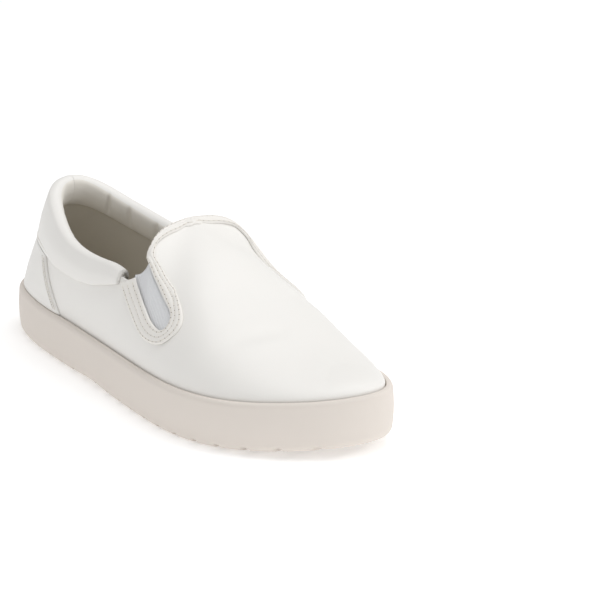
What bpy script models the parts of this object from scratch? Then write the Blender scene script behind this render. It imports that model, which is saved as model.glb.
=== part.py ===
"""Slip-on sneaker, right shoe, as separate solids.

The whole shoe comes from one pair of functions: the sole's outline and the upper's outer
surface over it. Every leather layer, the collar and the sole's wall are cut from those two,
so the layers keep an even gap. Working lengths are millimetres from the heel end of the
sole (x), from its long axis (y, outer side negative) and from the ground (z); the objects
are written in metres with the origin under the middle of the box.
"""
import bpy
import math
import numpy as np

# driving dimensions, millimetres
SOLE_LENGTH = 290.0
WALL_TOP = 25.6
TOE_SPRING = 6.6
SPRING_START = 0.70
ARCH_LIFT = 1.2
FEATHER_INSET = 4.0
WALL_GAP = 0.3
CUP_FLOOR = 10.0
FOOT_EDGE = 4.5
RIM_ROUND = 2.4
WALL_BULGE = 0.5
UPPER_WALL = 2.0
UPPER_FOOT = 10.5
LAYER_GAP = 0.3
LEATHER = 1.2
FOOTBED_THICK = 4.5
CREST_ROOM = 4.6
LINING_DEPTH = 17.0
GROOVE_PITCH = 14.0
GROOVE_WIDTH = 3.0
GROOVE_DEPTH = 2.6
GORE_WALL = 1.3

# sole outline: station share of the length, lateral and medial half width
OUTLINE = np.array([
    (0.00, 0.0, 0.0),
    (0.02, 14.7, 15.0),
    (0.06, 24.2, 25.1),
    (0.12, 31.4, 32.6),
    (0.20, 36.9, 36.5),
    (0.30, 41.0, 37.4),
    (0.40, 45.3, 38.4),
    (0.50, 49.9, 42.3),
    (0.60, 54.4, 48.6),
    (0.68, 56.5, 52.0),
    (0.75, 55.4, 50.6),
    (0.82, 50.6, 45.8),
    (0.88, 41.8, 40.6),
    (0.93, 30.4, 34.0),
    (0.97, 17.4, 25.6),
    (1.00, -7.0, 7.0),
])

# top edge of the upper from the heel's centre to the throat's centre: x, outward y, z
TOP_LATERAL = np.array([
    (30.0, -3.0, 87.8),
    (31.0, 3.5, 87.0),
    (37.0, 12.0, 83.4),
    (49.0, 19.0, 77.6),
    (64.0, 25.2, 72.4),
    (82.0, 30.2, 68.4),
    (100.0, 32.6, 66.8),
    (118.0, 33.8, 67.2),
    (132.0, 34.6, 67.4),
    (142.5, 34.6, 66.0),
    (149.5, 33.0, 68.2),
    (152.0, 30.4, 74.0),
    (149.5, 26.2, 81.4),
    (146.3, 19.0, 86.2),
    (144.2, 9.0, 88.4),
    (143.8, -2.0, 88.9),
])
TOP_MEDIAL = np.array([
    (30.0, 3.0, 87.8),
    (31.0, 9.5, 87.0),
    (37.0, 18.0, 83.4),
    (49.0, 24.5, 77.6),
    (64.0, 28.8, 72.6),
    (82.0, 31.4, 68.6),
    (100.0, 32.2, 66.8),
    (118.0, 33.0, 67.2),
    (132.0, 33.8, 67.4),
    (142.5, 34.0, 66.0),
    (149.5, 33.2, 68.2),
    (152.0, 31.6, 74.0),
    (149.5, 28.4, 81.2),
    (146.3, 22.4, 85.9),
    (144.2, 12.5, 88.3),
    (143.8, 2.0, 88.9),
])

# ridge of the vamp from the throat to behind the toe: x, y, z
RIDGE = np.array([
    (143.8, 2.0, 88.9),
    (170.0, 3.0, 78.0),
    (190.0, 5.0, 67.6),
    (210.0, 6.5, 57.8),
    (230.0, 7.0, 49.2),
    (246.0, 7.0, 43.6),
    (258.0, 7.0, 40.4),
])

# turn of a column's foot (0 heel, 1 toe), where its top lands (0-1 top edge, 1-2 ridge)
REACH = np.array([
    (0.00, 0.00),
    (0.10, 0.075),
    (0.20, 0.19),
    (0.30, 0.335),
    (0.40, 0.51),
    (0.47, 0.645),
    (0.53, 0.76),
    (0.575, 0.85),
    (0.61, 0.94),
    (0.64, 1.03),
    (0.68, 1.19),
    (0.74, 1.47),
    (0.80, 1.74),
    (0.86, 1.93),
    (0.90, 2.00),
    (1.00, 2.00),
])

# turn, lean of the column's foot outwards in degrees, share of its lower handle,
# share of its upper handle, turn of its upper end outwards in degrees, its forward pull
SHAPE = np.array([
    (0.00, -12.0, 0.33, 0.34, 12.0, 0.0),
    (0.10, -12.0, 0.33, 0.34, 12.0, 0.0),
    (0.20, -8.0, 0.33, 0.32, 12.0, 0.0),
    (0.30, -1.0, 0.33, 0.32, 15.0, 0.0),
    (0.40, 4.0, 0.32, 0.31, 19.0, 0.0),
    (0.47, 6.0, 0.30, 0.29, 26.0, 0.0),
    (0.50, 6.0, 0.29, 0.28, 32.0, 0.14),
    (0.53, 5.0, 0.27, 0.25, 40.0, 0.45),
    (0.55, 4.0, 0.26, 0.24, 48.0, 0.75),
    (0.575, 3.0, 0.25, 0.22, 56.0, 0.95),
    (0.61, 1.0, 0.23, 0.20, 72.0, 0.75),
    (0.64, 0.0, 0.21, 0.19, 82.0, 0.50),
    (0.68, 0.0, 0.20, 0.18, 88.0, 0.26),
    (0.74, 0.0, 0.18, 0.16, 90.0, 0.08),
    (0.80, 0.0, 0.18, 0.16, 90.0, 0.0),
    (0.86, 0.0, 0.18, 0.20, 90.0, 0.0),
    (0.90, 0.0, 0.20, 0.26, 90.0, 0.0),
    (1.00, 0.0, 0.22, 0.32, 90.0, 0.0),
])

# lower seam of the collar panel: x of the column's foot, height
COLLAR_SEAM = np.array([
    (0.0, 55.0),
    (30.0, 53.5),
    (60.0, 51.0),
    (90.0, 50.5),
    (110.0, 52.5),
    (130.0, 57.0),
    (150.0, 61.5),
    (290.0, 61.5),
])
COLLAR_END_TURN = 0.485
COLLAR_GAP = 0.6
VAMP_SLOPE = -0.40

# front edge of the heel counter: height, x
COUNTER_FRONT = np.array([
    (20.0, 82.0),
    (30.0, 72.5),
    (40.0, 62.5),
    (50.0, 52.5),
    (60.0, 46.0),
])
COUNTER_TOP_GAP = 0.6

# binding of the gore from the rear top round to the front: x and z of its inner edge,
# then x and z of its outer edge
GORE_BINDING = np.array([
    (147.7, 64.6, 138.0, 60.0),
    (153.0, 61.0, 144.6, 54.5),
    (159.8, 57.9, 151.8, 49.3),
    (166.9, 54.3, 158.8, 45.3),
    (173.4, 50.5, 167.6, 41.7),
    (179.3, 48.2, 176.6, 40.4),
    (183.5, 47.7, 185.1, 41.2),
    (185.9, 49.6, 190.6, 44.3),
    (185.2, 52.8, 193.7, 48.2),
    (181.6, 56.2, 193.9, 52.2),
    (175.8, 59.5, 190.1, 56.3),
    (169.5, 63.4, 182.7, 60.7),
    (163.3, 67.5, 172.3, 65.7),
    (158.9, 70.8, 163.9, 70.6),
])

# binding over the throat, from the gore to the middle: turn where its inner edge sits on the
# top edge, then turn and rise of its outer edge
THROAT_BINDING = np.array([
    (0.5450, 0.5900, 0.735),
    (0.5580, 0.5845, 0.822),
    (0.5720, 0.5867, 0.872),
    (0.5840, 0.5987, 0.878),
    (0.5960, 0.6136, 0.878),
    (0.6080, 0.6270, 0.885),
    (0.6200, 0.6390, 0.935),
    (0.6307, 0.6440, 1.000),
])
THROAT_RISE = 0.995
GORE_CUT_SHARE = 0.58
GORE_FILL_SHARE = 0.15
GORE_TOP_RISE = 0.93
GORE_DROP = 0.7
GORE_CUT_WAY = (0.20, 0.82, 0.53)
GORE_CUT_ROOM = 4.5


def natural_spline(knots, values, where):
    """Natural cubic spline through rows of values at the knots."""
    knots = np.asarray(knots, float)
    values = np.asarray(values, float)
    flat = values.reshape(len(knots), -1)
    step = np.diff(knots)
    count = len(knots)
    system = np.eye(count)
    right = np.zeros((count, flat.shape[1]))
    for i in range(1, count - 1):
        system[i, i - 1] = step[i - 1]
        system[i, i] = 2.0 * (step[i - 1] + step[i])
        system[i, i + 1] = step[i]
        rise_on = (flat[i + 1] - flat[i]) / step[i]
        rise_back = (flat[i] - flat[i - 1]) / step[i - 1]
        right[i] = 6.0 * (rise_on - rise_back)
    bend = np.linalg.solve(system, right)
    where = np.asarray(where, float)
    k = np.clip(np.searchsorted(knots, where, side="right") - 1, 0, count - 2)
    span = step[k][:, None]
    a = (knots[k + 1] - where)[:, None] / span
    b = 1.0 - a
    out = a * flat[k] + b * flat[k + 1]
    out = out + ((a**3 - a) * bend[k] + (b**3 - b) * bend[k + 1]) * span * span / 6.0
    return out.reshape((len(where),) + values.shape[1:])


def monotone_spline(knots, values, where):
    """Cubic through the rows that never overshoots them."""
    knots = np.asarray(knots, float)
    values = np.asarray(values, float)
    span = np.diff(knots)
    rate = np.diff(values) / span
    slope = np.zeros(len(knots))
    w1 = 2.0 * span[1:] + span[:-1]
    w2 = span[1:] + 2.0 * span[:-1]
    same = rate[:-1] * rate[1:] > 0
    back = np.where(same, rate[:-1], 1.0)
    ahead = np.where(same, rate[1:], 1.0)
    slope[1:-1] = np.where(same, (w1 + w2) / (w1 / back + w2 / ahead), 0.0)
    slope[0] = rate[0]
    slope[-1] = rate[-1]
    where = np.asarray(where, float)
    k = np.clip(np.searchsorted(knots, where, side="right") - 1, 0, len(knots) - 2)
    t = (where - knots[k]) / span[k]
    out = (2 * t**3 - 3 * t**2 + 1) * values[k] + (t**3 - 2 * t**2 + t) * span[k] * slope[k]
    return out + (3 * t**2 - 2 * t**3) * values[k + 1] + (t**3 - t**2) * span[k] * slope[k + 1]


def chord_shares(points):
    """Share of the way along a polyline at each of its points."""
    gaps = np.linalg.norm(np.diff(points, axis=0), axis=1)
    along = np.concatenate([[0.0], np.cumsum(gaps)])
    return along / along[-1]


def outline_at(turn, side):
    """Sole outline on one side; turn 0 is the heel's end and 1 the toe's."""
    knots = np.arccos(1.0 - 2.0 * OUTLINE[:, 0]) / math.pi
    lateral = -OUTLINE[:, 1]
    medial = OUTLINE[:, 2]
    own, other = (lateral, medial) if side < 0 else (medial, lateral)
    all_knots = np.concatenate([-knots[1:6][::-1], knots, 2.0 - knots[::-1][1:6]])
    values = np.concatenate([other[1:6][::-1], own, other[::-1][1:6]])
    turn = np.asarray(turn, float)
    x = SOLE_LENGTH * (1.0 - np.cos(math.pi * turn)) / 2.0
    return np.stack([x, natural_spline(all_knots, values, turn)], 1)


def outward_at(turn, side):
    """Unit direction out of the outline in plan."""
    along = outline_at(turn + 1e-4, side) - outline_at(turn - 1e-4, side)
    normal = np.stack([along[:, 1], -along[:, 0]], 1)
    if side > 0:
        normal = -normal
    return normal / np.linalg.norm(normal, axis=1)[:, None]


def inset_outline(turn, side, inset):
    """The outline moved inwards by this much."""
    turn = np.asarray(turn, float)
    return outline_at(turn, side) - outward_at(turn, side) * inset


def toe_lift(x):
    """Rise of the sole towards the toe."""
    share = np.clip((x / SOLE_LENGTH - SPRING_START) / (1.0 - SPRING_START), 0.0, 1.0)
    return TOE_SPRING * share**2


def arch_lift(x):
    """Small rise of the tread between heel and ball."""
    share = np.clip((x / SOLE_LENGTH - 0.30) / 0.20, 0.0, 1.0)
    return ARCH_LIFT * np.sin(math.pi * share) ** 2


def column_points(turn, side):
    """Foot, two handles and top of the upper's columns at these turns."""
    turn = np.asarray(turn, float)
    plan = inset_outline(turn, side, FEATHER_INSET)
    foot = np.column_stack([plan, WALL_TOP + toe_lift(plan[:, 0])])
    edge = (TOP_LATERAL if side < 0 else TOP_MEDIAL).copy()
    edge[:, 1] *= side
    reach = monotone_spline(REACH[:, 0], REACH[:, 1], turn)
    on_edge = natural_spline(chord_shares(edge), edge, np.clip(reach, 0.0, 1.0))
    ridge_shares = chord_shares(RIDGE)
    back = np.clip(reach - 1.0, 0.0, 1.0) * 0.999
    on_ridge = natural_spline(ridge_shares, RIDGE, np.clip(reach - 1.0, 0.0, 1.0))
    rise = natural_spline(ridge_shares, RIDGE, back + 0.001) - natural_spline(ridge_shares, RIDGE, back)
    slope = rise[:, 2] / rise[:, 0]
    top = np.where(reach[:, None] < 1.0, on_edge, on_ridge)
    shape = natural_spline(SHAPE[:, 0], SHAPE[:, 1:], turn)
    lean = np.radians(shape[:, 0])
    fall = np.radians(shape[:, 3])
    normal = outward_at(turn, side)
    angle_foot = np.arctan2(normal[:, 1] * side, normal[:, 0])
    angle_ridge = math.radians(90.0) * (1.0 - np.clip((turn - 0.86) / 0.14, 0.0, 1.0))
    blend = np.clip((turn - 0.50) / 0.12, 0.0, 1.0)
    blend = blend * blend * (3.0 - 2.0 * blend)
    angle = angle_foot * (1.0 - blend) + angle_ridge * blend
    out = np.stack([np.cos(angle), np.sin(angle) * side], 1)
    length = np.linalg.norm(top - foot, axis=1)[:, None]
    low = np.column_stack([normal * np.sin(lean)[:, None], np.cos(lean)])
    drop = np.where(reach >= 1.0, slope * out[:, 0], 0.0)
    high = np.column_stack([out * np.sin(fall)[:, None], -np.cos(fall) + drop * np.sin(fall)])
    ahead = np.clip(shape[:, 4], 0.0, None)
    high[:, 0] += ahead
    high[:, 2] += ahead * VAMP_SLOPE
    high /= np.linalg.norm(high, axis=1)[:, None]
    lower = foot + low * length * shape[:, 1:2]
    upper = top + high * length * shape[:, 2:3]
    return foot, lower, upper, top


def surface(turn, rise, side):
    """Outer face of the upper at pairs of turn and rise; below the feather line it drops."""
    turn = np.asarray(turn, float)
    rise = np.asarray(rise, float)
    foot, lower, upper, top = column_points(turn, side)
    v = np.clip(rise, 0.0, 1.2)[:, None]
    w = 1.0 - v
    out = w**3 * foot + 3 * w * w * v * lower + 3 * w * v * v * upper + v**3 * top
    out[:, 2] += np.minimum(rise, 0.0) * (WALL_TOP - UPPER_FOOT)
    return out


def normal_at(turn, rise, side):
    """Unit outward normal of the upper's outer face."""
    turn = np.asarray(turn, float)
    rise = np.asarray(rise, float)
    step = 1e-3
    along = surface(turn + step, rise, side) - surface(turn - step, rise, side)
    v = np.clip(rise, step, 1.0)
    across = surface(turn, v + step, side) - surface(turn, v - step, side)
    normal = np.cross(along, across)
    if side > 0:
        normal = -normal
    return normal / (np.linalg.norm(normal, axis=1)[:, None] + 1e-12)


def column_length(turn, side):
    """Length of each column from the feather line to its top."""
    shares = np.linspace(0.0, 1.0, 13)
    lines = np.stack([surface(turn, np.full(len(turn), s), side) for s in shares], 1)
    return np.linalg.norm(np.diff(lines, axis=1), axis=2).sum(1)


def rise_at_height(turn, side, height):
    """Rise at which each column reaches this height."""
    low = np.zeros(len(turn))
    high = np.ones(len(turn))
    for _ in range(30):
        middle = (low + high) / 2.0
        below = surface(turn, middle, side)[:, 2] < height
        low = np.where(below, middle, low)
        high = np.where(below, high, middle)
    return (low + high) / 2.0


def locate(x, z, side, turn, rise):
    """Turn and rise of the surface points with this x and z, from a first guess."""
    turn = np.asarray(turn, float).copy()
    rise = np.asarray(rise, float).copy()
    step = 1e-4
    for _ in range(14):
        here = surface(turn, rise, side)[:, [0, 2]]
        d_turn = (surface(turn + step, rise, side)[:, [0, 2]] - here) / step
        d_rise = (surface(turn, rise + step, side)[:, [0, 2]] - here) / step
        miss = np.stack([x, z], 1) - here
        det = d_turn[:, 0] * d_rise[:, 1] - d_turn[:, 1] * d_rise[:, 0]
        turn += np.clip((miss[:, 0] * d_rise[:, 1] - miss[:, 1] * d_rise[:, 0]) / det, -0.02, 0.02)
        rise += np.clip((miss[:, 1] * d_turn[:, 0] - miss[:, 0] * d_turn[:, 1]) / det, -0.08, 0.08)
        rise = np.clip(rise, 0.0, 1.15)
    return turn, rise


BOX_MID_Y = (float(OUTLINE[:, 2].max()) - float(OUTLINE[:, 1].max())) / 2.0


def to_row(points):
    """Millimetres from the heel to metres about the middle of the box."""
    moved = np.asarray(points, float) - np.array([SOLE_LENGTH / 2.0, BOX_MID_Y, 0.0])
    return moved / 1000.0


def clear_scene():
    """Empty the scene."""
    for item in list(bpy.data.objects):
        bpy.data.objects.remove(item, do_unlink=True)


def material(name, color, roughness):
    """One plain material."""
    made = bpy.data.materials.new(name)
    made.use_nodes = True
    shader = made.node_tree.nodes["Principled BSDF"]
    shader.inputs["Base Color"].default_value = (*color, 1.0)
    shader.inputs["Roughness"].default_value = roughness
    return made


def make_object(name, points, faces, look=None):
    """A mesh object from row-frame millimetre points, outward facing."""
    mesh = bpy.data.meshes.new(name)
    mesh.from_pydata([tuple(p) for p in to_row(points)], [], [tuple(f) for f in faces])
    mesh.update()
    made = bpy.data.objects.new(name, mesh)
    bpy.context.scene.collection.objects.link(made)
    if look is not None:
        mesh.materials.append(look)
    return made


def merge_points(points, faces, near=1e-4):
    """Join points that coincide and drop the faces that close up."""
    keys = np.round(np.asarray(points) / near).astype(np.int64)
    first, back = np.unique(keys, axis=0, return_index=True, return_inverse=True)[1:]
    back = np.asarray(back).reshape(-1)
    kept = np.asarray(points)[first]
    out = []
    for face in faces:
        ring = []
        for index in face:
            new = int(back[index])
            if not ring or ring[-1] != new:
                ring.append(new)
        if len(ring) > 1 and ring[0] == ring[-1]:
            ring.pop()
        if len(set(ring)) >= 3:
            out.append(ring)
    return kept, out


def merge_sheet(points, faces, normals):
    """Join a sheet's coinciding points and keep one normal for each."""
    kept, out = merge_points(points, faces)
    keys = np.round(points / 1e-4).astype(np.int64)
    index = np.unique(keys, axis=0, return_index=True)[1]
    return kept, out, normals[index]


def triangles(faces):
    """Split every face into triangles."""
    out = []
    for face in faces:
        for k in range(1, len(face) - 1):
            out.append((face[0], face[k], face[k + 1]))
    return out


def grid_faces(rows, columns, first=0, flip=False):
    """Quads of a rows by columns grid of points."""
    out = []
    for i in range(rows - 1):
        for j in range(columns - 1):
            a = first + i * columns + j
            quad = [a, a + columns, a + columns + 1, a + 1]
            out.append(quad[::-1] if flip else quad)
    return out


def boundary_edges(faces):
    """Directed edges that belong to one face only."""
    seen = {}
    for face in faces:
        for k in range(len(face)):
            seen[(face[k], face[(k + 1) % len(face)])] = True
    return [edge for edge in seen if (edge[1], edge[0]) not in seen]


def thicken(outer, inner, faces):
    """Closed solid between two sheets with the same faces; faces look out of the outer one."""
    count = len(outer)
    points = np.vstack([outer, inner])
    solid = [list(f) for f in faces]
    solid += [[i + count for i in f[::-1]] for f in faces]
    for a, b in boundary_edges(faces):
        solid.append([b, a, a + count, b + count])
    return points, triangles(solid)


def vertex_normals(points, faces):
    """Area-weighted normals of a sheet."""
    total = np.zeros_like(points)
    for a, b, c in triangles(faces):
        normal = np.cross(points[b] - points[a], points[c] - points[a])
        total[a] += normal
        total[b] += normal
        total[c] += normal
    return total / (np.linalg.norm(total, axis=1)[:, None] + 1e-12)


def loop_points(turns, inset, height):
    """Closed loop round the sole at an inset; height is a function of x."""
    lateral = inset_outline(turns, -1, inset)
    medial = inset_outline(turns, 1, inset)[::-1]
    plan = np.vstack([lateral, medial[1:-1]])
    return np.column_stack([plan, height(plan[:, 0])])


def ladder_faces(count, first, flip):
    """Quads across a closed loop of points, joining its two sides."""
    total = 2 * count - 2
    out = []
    for i in range(count - 1):
        a = i
        b = i + 1
        c = (total - i - 1) % total
        d = (total - i) % total
        quad = [a, b, c, d]
        if i == 0:
            quad = [a, b, c]
        if i == count - 2:
            quad = [a, b, d]
        quad = [first + q for q in quad]
        out.append(quad[::-1] if flip else quad)
    return out


def lofted(loops, count):
    """Closed solid from nested loops, capped across the first and the last."""
    total = 2 * count - 2
    points = np.vstack(loops)
    faces = ladder_faces(count, 0, True)
    for k in range(len(loops) - 1):
        for i in range(total):
            j = (i + 1) % total
            faces.append([k * total + i, k * total + j, (k + 1) * total + j, (k + 1) * total + i])
    faces += ladder_faces(count, (len(loops) - 1) * total, False)
    return points, triangles(faces)


def groove_cutter(name, places):
    """One hidden object of separate bars across the tread; rows are x and height."""
    points = []
    faces = []
    for x, top in places:
        first = len(points)
        x0 = x - GROOVE_WIDTH / 2
        x1 = x + GROOVE_WIDTH / 2
        points += [(x0, -80.0, -5.0), (x1, -80.0, -5.0), (x1, 80.0, -5.0), (x0, 80.0, -5.0),
                   (x0, -80.0, top), (x1, -80.0, top), (x1, 80.0, top), (x0, 80.0, top)]
        box = [(0, 3, 2, 1), (4, 5, 6, 7), (0, 1, 5, 4), (1, 2, 6, 5), (2, 3, 7, 6), (3, 0, 4, 7)]
        faces += [[first + i for i in face] for face in box]
    made = make_object(name, np.array(points), faces)
    made.hide_render = True
    made.display_type = "WIRE"
    return made


def add_boolean(target, cutter, operation):
    """Cut or keep part of an object."""
    step = target.modifiers.new(cutter.name, "BOOLEAN")
    step.operation = operation
    step.solver = "EXACT"
    step.object = cutter


def build_cupsole(look):
    """Rubber cup with a rounded wall, and bars across the tread."""
    turns = np.concatenate([[0.0, 0.022, 0.05], np.linspace(0.08, 0.92, 43), [0.95, 0.978, 1.0]])
    edge = FOOT_EDGE
    inner = FEATHER_INSET - WALL_GAP

    def tread(x):
        return toe_lift(x) + arch_lift(x)

    def wall(z):
        return lambda x: z + toe_lift(x)

    def lower(z):
        return lambda x: z + toe_lift(x) + arch_lift(x) * (1.0 - z / WALL_TOP)

    loops = [
        loop_points(turns, edge, tread),
        loop_points(turns, 1.9, lower(0.7)),
        loop_points(turns, 0.6, lower(2.2)),
        loop_points(turns, 0.0, lower(5.0)),
        loop_points(turns, -WALL_BULGE, wall(12.5)),
        loop_points(turns, 0.0, wall(WALL_TOP - RIM_ROUND - 1.6)),
        loop_points(turns, 0.9, wall(WALL_TOP - 0.9)),
        loop_points(turns, 2.2, wall(WALL_TOP - 0.1)),
        loop_points(turns, inner - 0.3, wall(WALL_TOP - 0.5)),
        loop_points(turns, inner, wall(WALL_TOP - 1.6)),
        loop_points(turns, inner, wall(CUP_FLOOR)),
    ]
    points, faces = lofted(loops, len(turns))
    sole = make_object("cupsole", points, faces, look)
    count = int(SOLE_LENGTH / GROOVE_PITCH)
    start = (SOLE_LENGTH - (count - 1) * GROOVE_PITCH) / 2.0
    x = start + np.arange(count) * GROOVE_PITCH
    top = toe_lift(x) + arch_lift(x) + GROOVE_DEPTH
    add_boolean(sole, groove_cutter("tread_grooves", np.column_stack([x, top])), "DIFFERENCE")
    return sole


def build_footbed(look):
    """Insole on the cup's floor, raised a little round its rim and under the arch."""
    turns = np.concatenate([[0.0, 0.03], np.linspace(0.07, 0.93, 23), [0.97, 1.0]])
    inset = FEATHER_INSET + UPPER_WALL + LAYER_GAP + 0.3
    floor = CUP_FLOOR + LAYER_GAP

    def at(z):
        return lambda x: z + toe_lift(x)

    loops = [
        loop_points(turns, inset, at(floor)),
        loop_points(turns, inset, at(floor + FOOTBED_THICK + 0.6)),
        loop_points(turns, inset + 1.2, at(floor + FOOTBED_THICK + 1.3)),
        loop_points(turns, inset + 6.0, at(floor + FOOTBED_THICK)),
    ]
    points, faces = lofted(loops, len(turns))
    return make_object("footbed", points, faces, look)


def main_turns():
    """Turns of the upper's columns on one side, closest together round heel and toe."""
    heel = np.array([0.0, 0.02, 0.042, 0.066, 0.092, 0.12, 0.15])
    body = np.linspace(0.18, 0.86, 31)
    toe = np.array([0.88, 0.90, 0.92, 0.94, 0.955, 0.97, 0.985, 1.0])
    return np.concatenate([heel, body, toe])


def top_share(turns, side):
    """Rise at which the upper's shell ends: lower under the collar, full elsewhere."""
    length = column_length(turns, side)
    blend = np.clip((turns - COLLAR_END_TURN - 0.0125) / 0.035, 0.0, 1.0)
    blend = blend * blend * (3.0 - 2.0 * blend)
    return 1.0 - CREST_ROOM / length * (1.0 - blend)


def upper_sheet():
    """Outer face of the upper as points and faces, both sides joined."""
    turns = main_turns()
    shares = np.array([0.0, 0.09, 0.19, 0.30, 0.42, 0.54, 0.66, 0.77, 0.87, 0.95, 1.0])
    points = []
    faces = []
    for side in (-1, 1):
        top = top_share(turns, side)
        first = sum(len(p) for p in points)
        rows = [surface(turns, np.full(len(turns), -0.98), side)]
        rows += [surface(turns, s * top, side) for s in shares]
        grid = np.stack(rows, 1)
        points.append(grid.reshape(-1, 3))
        faces += grid_faces(len(turns), len(rows), first, flip=side > 0)
    return merge_points(np.vstack(points), faces)


def build_upper(look):
    """Hollow leather shell, open at collar, throat and underneath."""
    points, faces = upper_sheet()
    normals = vertex_normals(points, faces)
    at_foot = points[:, 2] < WALL_TOP - 2.0
    normals[at_foot, 2] = 0.0
    normals = normals / np.linalg.norm(normals, axis=1)[:, None]
    solid, closed = thicken(points, points - normals * UPPER_WALL, faces)
    return make_object("upper", solid, closed, look)


def binding_edges(side):
    """Inner and outer edge of the binding from the gore's rear top to the throat's middle."""
    count = len(GORE_BINDING)
    guess_turn = np.interp(np.arange(count), [0, 6, 13], [0.52, 0.60, 0.61])
    guess_rise = np.interp(np.arange(count), [0, 6, 13], [0.9, 0.3, 0.6])
    inner = locate(GORE_BINDING[:, 0], GORE_BINDING[:, 1], side, guess_turn, guess_rise)
    outer = locate(GORE_BINDING[:, 2], GORE_BINDING[:, 3], side, guess_turn, guess_rise)
    inner_turn = np.concatenate([inner[0], THROAT_BINDING[:, 0]])
    inner_rise = np.concatenate([inner[1], np.full(len(THROAT_BINDING), THROAT_RISE)])
    outer_turn = np.concatenate([outer[0], THROAT_BINDING[:, 1]])
    outer_rise = np.concatenate([outer[1], np.minimum(THROAT_BINDING[:, 2], THROAT_RISE)])
    return inner_turn, inner_rise, outer_turn, outer_rise


def gore_grid(side, share, top_rise):
    """Turns and rises over the gore's opening, widened by a share of the binding."""
    inner_turn, inner_rise, outer_turn, outer_rise = binding_edges(side)
    count = len(GORE_BINDING) + 2
    edge_turn = (inner_turn * (1 - share) + outer_turn * share)[:count]
    edge_rise = (inner_rise * (1 - share) + outer_rise * share)[:count]
    rear = np.arange(0, count // 2)
    front = count - 1 - rear
    across = np.linspace(0.0, 1.0, 10)
    grid_turn = edge_turn[rear][:, None] * (1 - across) + edge_turn[front][:, None] * across
    grid_rise = edge_rise[rear][:, None] * (1 - across) + edge_rise[front][:, None] * across
    grid_turn = np.vstack([grid_turn[:1], grid_turn])
    grid_rise = np.vstack([np.full((1, 10), top_rise), grid_rise])
    return grid_turn, grid_rise


def patch_object(name, turns, rises, side_of, offset_in, offset_out, look):
    """A closed layer from a grid of surface places."""
    rows, columns = turns.shape
    points = np.zeros((rows * columns, 3))
    normals = np.zeros((rows * columns, 3))
    flat_turns = turns.reshape(-1)
    flat_rises = rises.reshape(-1)
    flat_sides = side_of.reshape(-1)
    for side in (-1, 1):
        mine = flat_sides == side
        if mine.any():
            points[mine] = surface(flat_turns[mine], flat_rises[mine], side)
            normals[mine] = normal_at(flat_turns[mine], flat_rises[mine], side)
    faces = grid_faces(rows, columns)
    points, faces, normals = merge_sheet(points, faces, normals)
    first = faces[len(faces) // 2]
    facing = np.cross(points[first[1]] - points[first[0]], points[first[2]] - points[first[0]])
    if facing @ normals[first[0]] < 0:
        faces = [f[::-1] for f in faces]
    solid, closed = thicken(points + normals * offset_out, points + normals * offset_in, faces)
    return make_object(name, solid, closed, look)


def build_counter(look):
    """Leather panel round the back of the heel."""
    half = 12
    rows = 6
    lines_turn = []
    lines_rise = []
    lines_side = []
    for side in (-1, 1):
        fan = np.linspace(0.0, 1.0, half)
        grid_turn = np.zeros((half, rows))
        grid_rise = np.zeros((half, rows))
        for j in range(rows):
            share = j / (rows - 1)
            turn_end = 0.25
            for _ in range(12):
                ends = np.array([turn_end])
                x_foot = inset_outline(ends, side, FEATHER_INSET)[0, 0]
                seam = float(np.interp(x_foot, COLLAR_SEAM[:, 0], COLLAR_SEAM[:, 1])) - COUNTER_TOP_GAP
                height = WALL_TOP + 0.35 + (seam - WALL_TOP - 0.35) * share
                rise = rise_at_height(ends, side, height)
                x_here = surface(ends, rise, side)[0, 0]
                x_want = float(np.interp(height, COUNTER_FRONT[:, 0], COUNTER_FRONT[:, 1]))
                turn_end += (x_want - x_here) / 420.0
            turns = turn_end * fan
            x_foot = inset_outline(turns, side, FEATHER_INSET)[:, 0]
            seam = np.interp(x_foot, COLLAR_SEAM[:, 0], COLLAR_SEAM[:, 1]) - COUNTER_TOP_GAP
            height = WALL_TOP + 0.35 + (seam - WALL_TOP - 0.35) * share
            grid_turn[:, j] = turns
            grid_rise[:, j] = [rise_at_height(turns[i:i + 1], side, height[i])[0] for i in range(half)]
        order = slice(None, 0, -1) if side < 0 else slice(None)
        lines_turn.append(grid_turn[order])
        lines_rise.append(grid_rise[order])
        lines_side.append(np.full(grid_turn[order].shape, side))
    return patch_object("heel_counter", np.vstack(lines_turn), np.vstack(lines_rise),
                        np.vstack(lines_side), LAYER_GAP, LAYER_GAP + LEATHER, look)


def build_binding(look):
    """One strip round the outer gore, over the throat's edge and round the inner gore."""
    across = np.linspace(0.0, 1.0, 4)
    lines_turn = []
    lines_rise = []
    lines_side = []
    for side in (-1, 1):
        inner_turn, inner_rise, outer_turn, outer_rise = binding_edges(side)
        grid_turn = inner_turn[:, None] * (1 - across) + outer_turn[:, None] * across
        grid_rise = inner_rise[:, None] * (1 - across) + outer_rise[:, None] * across
        grid_rise = np.minimum(grid_rise, 1.0)
        order = slice(None) if side < 0 else slice(-2, None, -1)
        lines_turn.append(grid_turn[order])
        lines_rise.append(grid_rise[order])
        lines_side.append(np.full(grid_turn[order].shape, side))
    return patch_object("binding", np.vstack(lines_turn), np.vstack(lines_rise),
                        np.vstack(lines_side), LAYER_GAP, LAYER_GAP + LEATHER, look)


def build_gore(side, look):
    """Elastic insert set into the upper's cut-out."""
    grid_turn, grid_rise = gore_grid(side, GORE_FILL_SHARE, GORE_TOP_RISE)
    name = "gore_lateral" if side < 0 else "gore_medial"
    return patch_object(name, grid_turn, grid_rise, np.full(grid_turn.shape, side),
                        -GORE_DROP - GORE_WALL, -GORE_DROP, look)


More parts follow.
